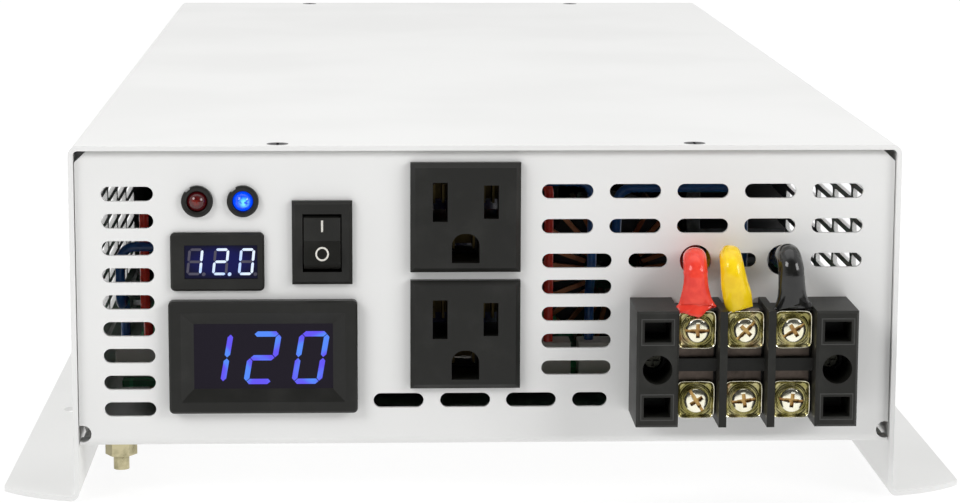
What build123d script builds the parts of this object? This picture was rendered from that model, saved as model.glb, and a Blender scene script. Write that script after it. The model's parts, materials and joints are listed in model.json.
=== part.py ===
# Power inverter, bench size: steel cover over a folded tray, sockets, meters, rocker switch and
# terminal block on the front, two fans and two battery posts at the rear.
# Millimetres. +Z up, +X right seen from the front, the front faces -Y.
# Origin: centre of the four mounting holes, on the plane the flanges rest on.
from build123d import *
from math import cos, hypot, radians, sin, sqrt
import os

os.makedirs("parts", exist_ok=True)

# ---- case
case_w = 207.0            # over the cover's walls
case_l = 440.0            # length of the cover
case_h = 90.0             # resting plane to the top of the cover
sheet = 1.2               # steel of cover and tray
bend_r = 1.2              # inside radius of every fold
floor_z = 13.8            # resting plane to the underside of the floor
flange_w = 19.0           # mounting flange beyond the wall
flange_sweep = 11.0       # how far the flange's ends are swept back
flange_end_r = 36.0       # radius of that sweep
mount_y = 120.0           # mounting holes, before and behind the middle
mount_from_wall = 9.5     # wall face to the centre of a mounting hole
mount_r = 3.5             # radius of a mounting hole
panel_set_back = 1.5      # cover's front edge to the panel's face
slide_gap = 0.2           # tray to cover wall, each side
top_lip = 12.0            # depth of the folded lips under the cover
side_lip = 13.0           # height of the tray's side lips
relief = 6.0              # gap between a side lip and a panel at the corner
relief_r = 2.2            # round notch in the panels' lower corners
corner_cut = 3.0          # cut corner at the top of each panel

roof_z = case_h - sheet
wall_x = case_w / 2
wall_in = wall_x - sheet
tray_x = wall_in - slide_gap
flange_x = wall_x + flange_w
mount_x = wall_x + mount_from_wall
face_y = -case_l / 2 + panel_set_back
back_y = -face_y
inner_y = face_y + sheet
floor_top = floor_z + sheet
fold_r = bend_r + sheet

# ---- vents
slot_h = 3.7
slot_long = 12.9
slot_wide = 17.5
left_slots = 9
left_slot_x = -89.25
left_slot_z = 77.9
left_slot_step = 6.82
right_slots = 5
right_slot_x = 20.15
right_slot_step = 16.93
right_rows = (78.3, 69.5)
lead_row_z = 60.75
lead_hole_r = 3.93
lead_hole_x = (52.35, 74.3)
lead_slots = ((22.6, 17.5), (40.4, 9.8), (63.25, 8.9), (87.85, 12.9))
side_slots = 4
side_slot_z = 54.1
side_slot_step = 6.87
low_slots = ((-22.05, 12.6), (-5.3, 12.6), (11.3, 12.6), (26.1, 8.8))
low_slot_z = 25.3
wall_slot_l = 27.0
wall_slot_h = 3.0
wall_slot_step_y = 30.0
wall_slot_step_z = 4.6
wall_slot_cols = 5
wall_slot_rows = 10
wall_slot_from = 47.0     # panel face to the middle of the first column
wall_slot_z = 32.0

# ---- sockets
outlet_w = 27.5
outlet_proud = 3.0
outlet_body = 25.0
outlet_depth = 20.0
outlet_x = -5.35
outlet_z = (72.05, 42.45)
blade_step = 12.7
blade_long = 9.8
blade_short = 8.4
blade_w = 3.7
blade_rise = 4.0          # blade slots above the middle of the socket
earth_w = 6.9
earth_h = 7.4
earth_drop = 7.6          # earth hole below the middle of the socket
contact_t = 0.6
contact_l = 9.0

# ---- rocker switch
switch_x = -41.0
switch_z = 65.75
switch_w = 15.0
switch_h = 21.0
switch_rim = 2.0
switch_body_w = 12.8
switch_body_h = 18.9
switch_depth = 14.0
rocker_w = 9.1
rocker_half = 5.7
rocker_tilt = 10.5        # each way from level
rocker_rise = 3.0         # pivot to the middle of the rocker's face
pivot_in = 1.0            # pivot behind the panel's face
pivot_r = 1.0
pivot_fit = 0.05
rocker_gap = 0.3

# ---- indicator lamps
lamp_x = (-71.9, -60.6)
lamp_z = 76.1
lamp_ring_r = 3.95
lamp_ring_t = 1.3
lamp_body_r = 3.1
lamp_r = 2.5

# ---- meters
dc_x = -67.05
dc_z = 60.95
dc_w = 23.3
dc_h = 14.7
dc_rim = 1.4
dc_depth = 10.0
dc_glass_w = 18.2
dc_glass_h = 8.5
dc_glass_x = 0.9          # window right of the middle of its case
ac_x = -55.8
ac_z = 37.0
ac_w = 47.0
ac_h = 28.6
ac_rim = 3.0
ac_depth = 13.0
ac_glass_w = 34.7
ac_glass_h = 16.5
meter_wall = 1.2
glass_t = 1.0

# ---- terminal block
block_x = 63.3
block_z = 36.9
block_h = 29.0
block_d = 19.65
pole_step = 11.9
fin_t = 1.9
block_end = 10.4
block_w = 3 * pole_step - fin_t + 2 * block_end
base_d = 10.5
base_h = 26.0
bar_t = 1.2
bar_w = 8.8
bar_l = 25.0
ridge_h = 3.2
ridge_d = 1.8
clamp_w = 9.4
clamp_h = 9.5
clamp_t = 1.0
clamp_edge = 0.7
clamp_row = 8.9           # clamp screws above and below the middle
clamp_screw_r = 2.0
clamp_head_r = 3.1
clamp_head_h = 2.2
clamp_screw_l = 10.0
thread_fit = 0.05
loose_fit = 0.1
lug_t = 0.8
block_hole_in = 5.15      # block's end to the middle of its fixing hole
block_hole_step = block_w - 2 * block_hole_in
block_bore_r = 3.65
block_screw_r = 1.5
pocket_w = 6.6
pocket_h = 5.0
pocket_d = 12.0

# ---- leads
lead_r = 2.9
core_r = 1.6
lead_bend = 6.0
lead_front = 12.6         # lead's centre in front of the panel at the block
lead_top = 63.6
lead_boot_z = 50.8
wire_r = 1.25
wire_bend = 4.0

# ---- earth stud
earth_x = -92.5
earth_y = face_y + 9.0
earth_r = 2.0
earth_end = 6.0

# ---- inside
board_w = 188.0
board_front = face_y + 32.5
board_back = back_y - 68.5
board_t = 1.6
standoff_h = 7.0
standoff_r = 3.0
fixing_in = 8.0           # board edge to a corner fixing
middle_fixing_x = 45.0
board_z = floor_top + standoff_h
board_top = board_z + board_t
board_mid = (board_front + board_back) / 2
board_fixings = [(s * (board_w / 2 - fixing_in), y)
                 for s in (1, -1) for y in (board_front + 28.0, board_back - 10.0)]
board_fixings += [(s * middle_fixing_x, board_mid) for s in (1, -1)]

# ---- rear
fan_x = 62.0
fan_z = 50.0
fan_w = 60.0
fan_d = 25.0
fan_hole_r = 28.5
fan_hole_step = 50.0
fan_hub_r = 12.0
fan_tip_r = 28.0
fan_blades = 7
fan_shaft_r = 1.5
post_x = 15.0
post_z = 47.0
post_r = 4.0
post_hole_r = 7.0
post_base_r = 12.0
post_base_t = 5.0
knob_r = 10.5
knob_l = 18.0
post_washer_r = 9.0
post_washer_t = 1.6
post_spare = 3.0          # stud beyond the knob
bus_w = 16.0
bus_t = 2.0

# ---- fasteners
cover_screw_x = 52.0
cover_screw_in = 4.5
cover_head_r = 2.7
cover_screw_r = 1.5
side_screw_z = 21.0
side_screw_in = 30.0      # cover's end to the first side screw
side_screw_y = (-case_l / 2 + side_screw_in, -65.0, 65.0, case_l / 2 - side_screw_in)
small_head_r = 2.8
small_head_h = 1.8
small_gap = 0.05


def facing(y):
    """A plane across the case at depth y, with X to the right and Z up."""
    return Plane.XZ.offset(-y)


def screw(shank_r, length, head_r, head_h):
    """A pan-head screw along -Z, its head above the origin, with a cross recess."""
    with BuildPart() as piece:
        with BuildSketch():
            Circle(shank_r)
        extrude(amount=-length)
        with BuildSketch():
            Circle(head_r)
        extrude(amount=head_h)
        fillet(piece.faces().sort_by(Axis.Z)[-1].edges(), radius=head_h * 0.4)
        with BuildSketch(Plane.XY.offset(head_h)):
            Rectangle(head_r * 1.25, head_r * 0.28)
            Rectangle(head_r * 0.28, head_r * 1.25)
        extrude(amount=-head_h * 0.6, mode=Mode.SUBTRACT)
    return piece.part


def flat_screw(shank_r, length, head_r, head_h):
    """A countersunk screw along -Z, the top of its head at the origin."""
    with BuildPart() as piece:
        with BuildSketch():
            Circle(head_r)
        with BuildSketch(Plane.XY.offset(-head_h)):
            Circle(shank_r)
        loft()
        with BuildSketch(Plane.XY.offset(-head_h)):
            Circle(shank_r)
        extrude(amount=-(length - head_h))
        with BuildSketch():
            Rectangle(head_r * 1.2, head_r * 0.25)
            Rectangle(head_r * 0.25, head_r * 1.2)
        extrude(amount=-head_h * 0.6, mode=Mode.SUBTRACT)
    return piece.part


def turned(x, y, z, about_x=0, about_z=0):
    """A place at x, y, z turned about X, then about Z."""
    return Location((x, y, z)) * Location((0, 0, 0), (0, 0, about_z)) * Location((0, 0, 0), (about_x, 0, 0))


toward_front = 90         # turn about X that sends +Z to -Y
toward_back = -90         # turn about X that sends +Z to +Y


# ================================================================ cover
with BuildPart() as cover:
    with BuildSketch(Plane.XZ) as wrap:
        with BuildLine():
            Polyline(
                (flange_x, 0), (wall_in, 0), (wall_in, roof_z), (-wall_in, roof_z),
                (-wall_in, 0), (-flange_x, 0), (-flange_x, sheet), (-wall_x, sheet),
                (-wall_x, case_h), (wall_x, case_h), (wall_x, sheet), (flange_x, sheet),
                close=True)
        make_face()
        outer_folds = [v for v in wrap.vertices()
                       if (abs(abs(v.X) - wall_in) < 0.01 and v.Y < 0.01)
                       or (abs(abs(v.X) - wall_x) < 0.01 and v.Y > roof_z + 0.01)]
        fillet(outer_folds, radius=fold_r)
        inner_folds = [v for v in wrap.vertices()
                       if (abs(abs(v.X) - wall_x) < 0.01 and abs(v.Y - sheet) < 0.01)
                       or (abs(abs(v.X) - wall_in) < 0.01 and abs(v.Y - roof_z) < 0.01)]
        fillet(inner_folds, radius=bend_r)
    extrude(amount=case_l / 2, both=True)
    for side_x in (1, -1):
        for end_y in (1, -1):
            start = (side_x * wall_x, end_y * case_l / 2)
            finish = (side_x * flange_x, end_y * (case_l / 2 - flange_sweep))
            with BuildSketch(Plane.XY.offset(-1)):
                with BuildLine():
                    RadiusArc(start, finish, side_x * end_y * flange_end_r)
                    Polyline(
                        finish,
                        (side_x * (flange_x + 1), end_y * (case_l / 2 - flange_sweep)),
                        (side_x * (flange_x + 1), end_y * (case_l / 2 + 1)),
                        (side_x * wall_x, end_y * (case_l / 2 + 1)),
                        start)
                make_face()
            extrude(amount=sheet + 1 + bend_r, mode=Mode.SUBTRACT)
    outer_corners = cover.edges().filter_by(Axis.Z).filter_by(
        lambda e: abs(abs(e.center().X) - flange_x) < 0.01)
    fillet(outer_corners, radius=2.0)
    with BuildSketch():
        with Locations(*[(sx * mount_x, sy * mount_y) for sx in (1, -1) for sy in (1, -1)]):
            Circle(mount_r)
    extrude(amount=sheet, mode=Mode.SUBTRACT)
    with BuildSketch(Plane.YZ.offset(-wall_x - 1)):
        first_y = face_y + wall_slot_from + (wall_slot_cols - 1) * wall_slot_step_y / 2
        first_z = wall_slot_z + (wall_slot_rows - 1) * wall_slot_step_z / 2
        with Locations((first_y, first_z)):
            with GridLocations(wall_slot_step_y, wall_slot_step_z, wall_slot_cols, wall_slot_rows):
                SlotOverall(wall_slot_l, wall_slot_h)
        with Locations(*[(y, side_screw_z) for y in side_screw_y]):
            Circle(cover_screw_r + small_gap)
    extrude(amount=case_w + 2, mode=Mode.SUBTRACT)
    for end_y in (1, -1):
        for side_x in (1, -1):
            spot = (side_x * cover_screw_x, end_y * (case_l / 2 - cover_screw_in))
            with BuildSketch(Plane.XY.offset(case_h)):
                with Locations(spot):
                    Circle(cover_head_r + small_gap)
            with BuildSketch(Plane.XY.offset(roof_z)):
                with Locations(spot):
                    Circle(cover_screw_r + small_gap)
            loft(mode=Mode.SUBTRACT)

# ================================================================ tray
with BuildPart() as tray:
    with BuildSketch(Plane.YZ) as fold:
        with BuildLine():
            Polyline(
                (face_y + top_lip, roof_z), (face_y, roof_z), (face_y, floor_z),
                (back_y, floor_z), (back_y, roof_z), (back_y - top_lip, roof_z),
                (back_y - top_lip, roof_z - sheet), (back_y - sheet, roof_z - sheet),
                (back_y - sheet, floor_top), (inner_y, floor_top),
                (inner_y, roof_z - sheet), (face_y + top_lip, roof_z - sheet),
                close=True)
        make_face()
        fillet([v for v in fold.vertices() if abs(abs(v.X) - back_y) < 0.01], radius=fold_r)
        fillet([v for v in fold.vertices() if abs(abs(v.X) - (back_y - sheet)) < 0.01],
               radius=bend_r)
    extrude(amount=tray_x, both=True)
    lip_half = back_y - relief
    edge_in = tray_x - fold_r - sheet
    for side_x in (1, -1):
        with BuildSketch(Plane.XY.offset(floor_z - 1)):
            with Locations((side_x * (edge_in + 10), 0)):
                Rectangle(20, 2 * lip_half)
        extrude(amount=sheet + 2, mode=Mode.SUBTRACT)
        with BuildSketch(Plane.XZ) as lip:
            with BuildLine():
                Polyline(
                    (side_x * edge_in, floor_z), (side_x * tray_x, floor_z),
                    (side_x * tray_x, floor_z + side_lip),
                    (side_x * (tray_x - sheet), floor_z + side_lip),
                    (side_x * (tray_x - sheet), floor_top), (side_x * edge_in, floor_top),
                    close=True)
            make_face()
            fillet([v for v in lip.vertices()
                    if abs(abs(v.X) - tray_x) < 0.01 and abs(v.Y - floor_z) < 0.01],
                   radius=fold_r)
            fillet([v for v in lip.vertices()
                    if abs(abs(v.X) - tray_x + sheet) < 0.01 and abs(v.Y - floor_top) < 0.01],
                   radius=bend_r)
        extrude(amount=lip_half - 0.5, both=True)
    # cut corners and relief notches of both panels
    with BuildSketch(facing(face_y - 1)):
        for side_x in (1, -1):
            with BuildLine():
                Polyline(
                    (side_x * (tray_x - corner_cut), roof_z + 1),
                    (side_x * (tray_x - corner_cut), roof_z - 0.2),
                    (side_x * tray_x, roof_z - corner_cut),
                    (side_x * (tray_x + 1), roof_z - corner_cut),
                    (side_x * (tray_x + 1), roof_z + 1), close=True)
            make_face()
        with Locations((tray_x - 0.8, floor_z + 3.2), (0.8 - tray_x, floor_z + 3.2)):
            Circle(relief_r)
    extrude(amount=-(top_lip + 2), mode=Mode.SUBTRACT)
    with BuildSketch(facing(back_y + 1)):
        for side_x in (1, -1):
            with BuildLine():
                Polyline(
                    (side_x * (tray_x - corner_cut), roof_z + 1),
                    (side_x * (tray_x - corner_cut), roof_z - 0.2),
                    (side_x * tray_x, roof_z - corner_cut),
                    (side_x * (tray_x + 1), roof_z - corner_cut),
                    (side_x * (tray_x + 1), roof_z + 1), close=True)
            make_face()
    extrude(amount=top_lip + 2, mode=Mode.SUBTRACT)
    # front panel
    with BuildSketch(facing(face_y)):
        with Locations(*[(left_slot_x, left_slot_z - i * left_slot_step)
                         for i in range(left_slots)]):
            SlotOverall(slot_long, slot_h)
        with Locations(*[(right_slot_x + i * right_slot_step, z)
                         for z in right_rows for i in range(right_slots)]):
            SlotOverall(slot_long, slot_h)
        for x, length in lead_slots:
            with Locations((x, lead_row_z)):
                SlotOverall(length, slot_h)
        with Locations(*[(lead_slots[0][0], side_slot_z - i * side_slot_step)
                         for i in range(side_slots)]):
            SlotOverall(slot_wide, slot_h)
        for x, length in low_slots:
            with Locations((x, low_slot_z)):
                SlotOverall(length, slot_h)
        with Locations(*[(x, lead_row_z) for x in lead_hole_x]):
            Circle(lead_hole_r)
        with Locations(*[(x, lamp_z) for x in lamp_x]):
            Circle(lamp_body_r + small_gap)
        with Locations(*[(outlet_x, z) for z in outlet_z]):
            Rectangle(outlet_body + 0.2, outlet_body + 0.2)
        with Locations((switch_x, switch_z)):
            Rectangle(switch_body_w + 0.2, switch_body_h + 0.2)
        with Locations((dc_x, dc_z)):
            Rectangle(dc_w - 1.6, dc_h - 1.6)
        with Locations((ac_x, ac_z)):
            Rectangle(ac_w - 2.6, ac_h - 2.6)
        with Locations(*[(block_x + s * block_hole_step / 2, block_z) for s in (1, -1)]):
            Circle(block_screw_r + small_gap)
    extrude(amount=-sheet, mode=Mode.SUBTRACT)
    # rear panel
    with BuildSketch(facing(back_y)):
        for side_x in (1, -1):
            with Locations((side_x * fan_x, fan_z)):
                for ring_r, holes in ((9.0, 6), (16.5, 12), (24.0, 18)):
                    with PolarLocations(ring_r, holes):
                        Circle(2.9)
                with GridLocations(fan_hole_step, fan_hole_step, 2, 2):
                    Circle(2.0)
            with Locations((side_x * post_x, post_z)):
                Circle(post_hole_r)
    extrude(amount=sheet, mode=Mode.SUBTRACT)
    # floor, lips and side lips
    with BuildSketch(Plane.XY.offset(floor_z)):
        with Locations((earth_x, earth_y)):
            Circle(earth_r + small_gap)
        with Locations(*board_fixings):
            Circle(cover_screw_r + small_gap)
    extrude(amount=sheet, mode=Mode.SUBTRACT)
    with BuildSketch(Plane.XY.offset(roof_z)):
        with Locations(*[(sx * cover_screw_x, sy * (case_l / 2 - cover_screw_in))
                         for sx in (1, -1) for sy in (1, -1)]):
            Circle(cover_screw_r + small_gap)
    extrude(amount=-(sheet + 2), mode=Mode.SUBTRACT)
    with BuildSketch(Plane.YZ.offset(-tray_x - 1)):
        with Locations(*[(y, side_screw_z) for y in side_screw_y]):
            Circle(cover_screw_r + small_gap)
    extrude(amount=2 * tray_x + 2, mode=Mode.SUBTRACT)

# ================================================================ case fasteners
flush_screw = flat_screw(cover_screw_r, 7.0, cover_head_r, sheet)
with BuildPart() as cover_screws:
    with Locations(*[(sx * cover_screw_x, sy * (case_l / 2 - cover_screw_in), case_h)
                     for sx in (1, -1) for sy in (1, -1)]):
        add(flush_screw)

wall_screw = screw(cover_screw_r, 6.0, small_head_r, small_head_h)
with BuildPart() as side_screws:
    for side_x in (1, -1):
        for y in side_screw_y:
            with Locations(Location((side_x * wall_x, y, side_screw_z), (0, side_x * 90, 0))):
                add(wall_screw)

# ================================================================ sockets
socket_back = inner_y + outlet_depth


def socket(z):
    """One snap-in earthed socket centred at height z."""
    left = outlet_x - blade_step / 2
    right = outlet_x + blade_step / 2
    with BuildPart() as piece:
        with BuildSketch(facing(face_y)):
            with Locations((outlet_x, z)):
                Rectangle(outlet_w, outlet_w)
        extrude(amount=outlet_proud)
        front = piece.faces().sort_by(Axis.Y)[0]
        chamfer(front.edges(), length=1.2)
        with BuildSketch(facing(face_y)):
            with Locations((outlet_x, z)):
                Rectangle(outlet_body, outlet_body)
        extrude(amount=-(outlet_depth + sheet))
        with BuildSketch(facing(face_y - outlet_proud)):
            with Locations((left, z + blade_rise)):
                Rectangle(blade_w, blade_long)
            with Locations((right, z + blade_rise)):
                Rectangle(blade_w, blade_short)
            with Locations((outlet_x, z - earth_drop)):
                Rectangle(earth_w, earth_h)
        extrude(amount=-(outlet_proud + sheet + 12.0), mode=Mode.SUBTRACT)
        arch = piece.edges().filter_by(Axis.Y).filter_by(
            lambda e: abs(e.center().Z - (z - earth_drop + earth_h / 2)) < 0.01
            and abs(abs(e.center().X - outlet_x) - earth_w / 2) < 0.01)
        fillet(arch, radius=earth_w * 0.45)
        # contact chambers, open at the back
        with BuildSketch(facing(socket_back)):
            with Locations((left, z + blade_rise), (right, z + blade_rise)):
                Rectangle(blade_w + 1.6, blade_long + 1.0)
            with Locations((outlet_x, z - earth_drop)):
                Rectangle(earth_w - 1.0, earth_h - 1.0)
        extrude(amount=outlet_depth - 4.0, mode=Mode.SUBTRACT)
        # snap wedges above and below the cut-out
        for side in (1, -1):
            with BuildSketch(Plane.YZ.offset(outlet_x - 4)):
                with BuildLine():
                    Polyline(
                        (inner_y + 0.1, z + side * outlet_body / 2),
                        (inner_y + 0.1, z + side * (outlet_body / 2 + 0.9)),
                        (inner_y + 6.0, z + side * outlet_body / 2), close=True)
                make_face()
            extrude(amount=8)
    return piece.part


with BuildPart() as outlets:
    add(socket(outlet_z[0]))
    add(socket(outlet_z[1]))

tab_back = socket_back + 6.0
with BuildPart() as outlet_contacts:
    for z in outlet_z:
        for offset, rise, width, gap in (
                (-blade_step / 2, blade_rise, blade_w + 1.6, 1.7),
                (blade_step / 2, blade_rise, blade_w + 1.6, 1.7),
                (0, -earth_drop, earth_w - 1.0, earth_w - 2.4)):
            x = outlet_x + offset
            with BuildSketch(Plane.XY.offset(z + rise)):
                with Locations((x, socket_back - 0.6)):
                    Rectangle(width - 0.2, 1.2)
                for side in (1, -1):
                    with Locations((x + side * (gap + contact_t) / 2, socket_back - 0.5 - contact_l / 2)):
                        Rectangle(contact_t, contact_l)
                with Locations((x, socket_back + 2.9)):
                    Rectangle(0.8, 6.2)
            extrude(amount=2.4, both=True)

# ================================================================ rocker switch
pivot_y = face_y + pivot_in
rocker_r = hypot(rocker_rise + rocker_half * sin(radians(rocker_tilt)), rocker_half)
well_half = rocker_r + rocker_gap
with BuildPart() as switch_frame:
    with BuildSketch(facing(face_y)):
        with Locations((switch_x, switch_z)):
            Rectangle(switch_w, switch_h)
    extrude(amount=switch_rim)
    rim_face = switch_frame.faces().sort_by(Axis.Y)[0]
    chamfer(rim_face.edges(), length=0.8)
    with BuildSketch(facing(face_y)):
        with Locations((switch_x, switch_z)):
            Rectangle(switch_body_w, switch_body_h)
    extrude(amount=-switch_depth)
    with BuildSketch(facing(face_y - switch_rim)):
        with Locations((switch_x, switch_z)):
            Rectangle(rocker_w + 2 * rocker_gap, 2 * well_half)
    extrude(amount=-(switch_rim + pivot_in + 5.4), mode=Mode.SUBTRACT)
    with BuildSketch(Plane.YZ.offset(switch_x)):
        with Locations((pivot_y, switch_z)):
            Circle(pivot_r + pivot_fit)
    extrude(amount=rocker_w / 2 + 1.3, both=True, mode=Mode.SUBTRACT)

tilt = radians(-rocker_tilt)
rocker_plane = Plane(origin=(switch_x, pivot_y, switch_z), x_dir=(0, cos(tilt), sin(tilt)), z_dir=(1, 0, 0))
rocker_end_y = -(rocker_rise + rocker_half * sin(radians(rocker_tilt)))
rocker_back = 3.2
with BuildPart() as rocker:
    with BuildSketch(rocker_plane):
        with BuildLine():
            Polyline((rocker_end_y, -rocker_half), (-rocker_rise, 0), (rocker_end_y, rocker_half))
            corner_z = sqrt(rocker_r ** 2 - rocker_back ** 2)
            ThreePointArc((rocker_end_y, rocker_half), (0, rocker_r), (rocker_back, corner_z))
            Polyline((rocker_back, corner_z), (rocker_back, -corner_z))
            ThreePointArc((rocker_back, -corner_z), (0, -rocker_r), (rocker_end_y, -rocker_half))
        make_face()
    extrude(amount=rocker_w / 2, both=True)
    with BuildSketch(rocker_plane):
        Circle(pivot_r)
    extrude(amount=rocker_w / 2 + 1.1, both=True)

switch_back = face_y + switch_depth
switch_tab_end = switch_back + 7.5
with BuildPart() as switch_tabs:
    for dz in (-5.5, 0.0, 5.5):
        with BuildSketch(facing(switch_back)):
            with Locations((switch_x, switch_z + dz)):
                Rectangle(4.8, 0.8)
        extrude(amount=-7.5)

# ================================================================ indicator lamps
with BuildPart() as lamp_rings:
    for x in lamp_x:
        with BuildSketch(facing(face_y)):
            with Locations((x, lamp_z)):
                Circle(lamp_ring_r)
        extrude(amount=lamp_ring_t)
    ring_fronts = lamp_rings.faces().filter_by(Plane.XZ).group_by(Axis.Y)[0]
    fillet(ring_fronts.edges(), radius=0.5)
    for x in lamp_x:
        with BuildSketch(facing(face_y)):
            with Locations((x, lamp_z)):
                Circle(lamp_body_r)
        extrude(amount=-7.0)
        with BuildSketch(facing(face_y - lamp_ring_t)):
            with Locations((x, lamp_z)):
                Circle(lamp_r + small_gap)
        extrude(amount=-(lamp_ring_t + 7.0), mode=Mode.SUBTRACT)


def lamp(x):
    """A 5 mm lamp with a domed end and two legs."""
    with BuildPart() as piece:
        with BuildSketch(Plane.XY.offset(lamp_z)):
            with BuildLine():
                tip = face_y - lamp_ring_t - 1.2
                shoulder = tip + lamp_r
                Polyline((x, tip), (x, face_y + 6.5), (x + lamp_r, face_y + 6.5),
                         (x + lamp_r, shoulder))
                ThreePointArc((x + lamp_r, shoulder),
                              (x + lamp_r * cos(radians(45)), shoulder - lamp_r * sin(radians(45))),
                              (x, tip))
            make_face()
        revolve(axis=Axis((x, 0, lamp_z), (0, 1, 0)))
        for dx in (-1.27, 1.27):
            with BuildSketch(facing(face_y + 6.5)):
                with Locations((x + dx, lamp_z)):
                    Rectangle(0.5, 0.5)
            extrude(amount=-9.0)
    return piece.part


with BuildPart() as lamp_red:
    add(lamp(lamp_x[0]))

with BuildPart() as lamp_blue:
    add(lamp(lamp_x[1]))


# ================================================================ meters
def meter_case(x, z, width, height, rim, depth, glass_x, glass_w, glass_h, flat):
    """A snap-in meter case, open at the window, bevelled down to the glass unless flat."""
    with BuildPart() as piece:
        with BuildSketch(facing(face_y)):
            with Locations((x, z)):
                RectangleRounded(width, height, 1.2)
        extrude(amount=rim)
        front = piece.faces().sort_by(Axis.Y)[0]
        chamfer(front.edges(), length=0.5)
        trim = 1.8 if flat else 2.8
        with BuildSketch(facing(face_y)):
            with Locations((x, z)):
                Rectangle(width - trim, height - trim)
        extrude(amount=-depth)
        if not flat:
            with BuildSketch(facing(face_y - rim)):
                with Locations((x + glass_x, z)):
                    Rectangle(glass_w + 6.2, glass_h + 6.2)
            with BuildSketch(facing(face_y - rim + 2.0)):
                with Locations((x + glass_x, z)):
                    Rectangle(glass_w, glass_h)
            loft(mode=Mode.SUBTRACT)
        with BuildSketch(facing(face_y - rim)):
            with Locations((x + glass_x, z)):
                Rectangle(glass_w, glass_h)
        extrude(amount=-(rim + 1.0), mode=Mode.SUBTRACT)
        with BuildSketch(facing(face_y + 1.0)):
            with Locations((x, z)):
                Rectangle(width - trim - 2 * meter_wall, height - trim - 2 * meter_wall)
        extrude(amount=-(depth - 1.0), mode=Mode.SUBTRACT)
    return piece.part


with BuildPart() as dc_meter_case:
    add(meter_case(dc_x, dc_z, dc_w, dc_h, dc_rim, dc_depth, dc_glass_x, dc_glass_w, dc_glass_h, True))

with BuildPart() as ac_meter_case:
    add(meter_case(ac_x, ac_z, ac_w, ac_h, ac_rim, ac_depth, 0, ac_glass_w, ac_glass_h, False))

meter_layout = (
    (dc_x, dc_z, dc_w - 1.8, dc_h - 1.8, dc_rim - 0.4, dc_depth, dc_glass_x, dc_glass_w,
     dc_glass_h),
    (ac_x, ac_z, ac_w - 2.8, ac_h - 2.8, ac_rim - 2.0, ac_depth, 0, ac_glass_w, ac_glass_h))

with BuildPart() as meter_windows:
    for x, z, width, height, front, depth, glass_x, glass_w, glass_h in meter_layout:
        with BuildSketch(facing(face_y - front)):
            with Locations((x + glass_x, z)):
                Rectangle(glass_w, glass_h)
        extrude(amount=-glass_t)

with BuildPart() as meter_displays:
    for x, z, width, height, front, depth, glass_x, glass_w, glass_h in meter_layout:
        display_y = face_y - front + glass_t
        with BuildSketch(facing(face_y + 1.0)):
            with Locations((x, z)):
                Rectangle(width - 2 * meter_wall, height - 2 * meter_wall)
        extrude(amount=-(depth - 3.0))
        with BuildSketch(facing(face_y + 1.0)):
            with Locations((x + glass_x, z)):
                Rectangle(glass_w - 0.1, glass_h - 0.1)
        extrude(amount=face_y + 1.0 - display_y)

# ================================================================ terminal block
pole_x = [block_x + i * pole_step for i in (-1, 0, 1)]
end_in = block_w / 2 - block_end
bar_y = face_y - base_d
clamp_z = (block_z + clamp_row, block_z - clamp_row)
with BuildPart() as terminal_block:
    with BuildSketch(facing(face_y)):
        with Locations((block_x, block_z)):
            Rectangle(2 * end_in, base_h)
    extrude(amount=base_d)
    with BuildSketch(facing(face_y)):
        with Locations(*[(block_x + s * (end_in + block_end / 2), block_z) for s in (1, -1)]):
            Rectangle(block_end, block_h)
        with Locations(*[(block_x + s * pole_step / 2, block_z) for s in (1, -1)]):
            Rectangle(fin_t, block_h)
    extrude(amount=block_d)
    with BuildSketch(facing(bar_y - bar_t - 0.1)):
        with Locations((block_x, block_z)):
            Rectangle(2 * end_in, ridge_h)
    extrude(amount=ridge_d)
    block_front = terminal_block.faces().filter_by(Plane.XZ).group_by(Axis.Y)[0]
    outline = block_front.sort_by(Axis.X)
    chamfer(outline[0].edges(), length=0.6)
    chamfer(outline[-1].edges(), length=0.6)
    with BuildSketch(facing(face_y - block_d)):
        with Locations(*[(block_x + s * block_hole_step / 2, block_z) for s in (1, -1)]):
            Circle(block_bore_r)
    extrude(amount=-(block_d - 5.0), mode=Mode.SUBTRACT)
    with BuildSketch(facing(face_y - 5.0)):
        with Locations(*[(block_x + s * block_hole_step / 2, block_z) for s in (1, -1)]):
            Circle(block_screw_r + small_gap)
    extrude(amount=-5.0, mode=Mode.SUBTRACT)
    with BuildSketch(facing(face_y - block_d)):
        with Locations(*[(block_x + s * block_hole_step / 2, block_z + t * 9.4)
                         for s in (1, -1) for t in (1, -1)]):
            Rectangle(pocket_w, pocket_h)
    extrude(amount=-pocket_d, mode=Mode.SUBTRACT)
    with BuildSketch(facing(bar_y)):
        with Locations(*[(x, z) for x in pole_x for z in clamp_z]):
            Circle(clamp_screw_r + 0.5)
    extrude(amount=-(base_d - 2.0), mode=Mode.SUBTRACT)

with BuildPart() as terminal_bars:
    with BuildSketch(facing(bar_y)):
        with Locations(*[(x, block_z) for x in pole_x]):
            Rectangle(bar_w, bar_l)
        with Locations(*[(x, z) for x in pole_x for z in clamp_z]):
            Circle(clamp_screw_r + thread_fit, mode=Mode.SUBTRACT)
    extrude(amount=bar_t)


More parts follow.
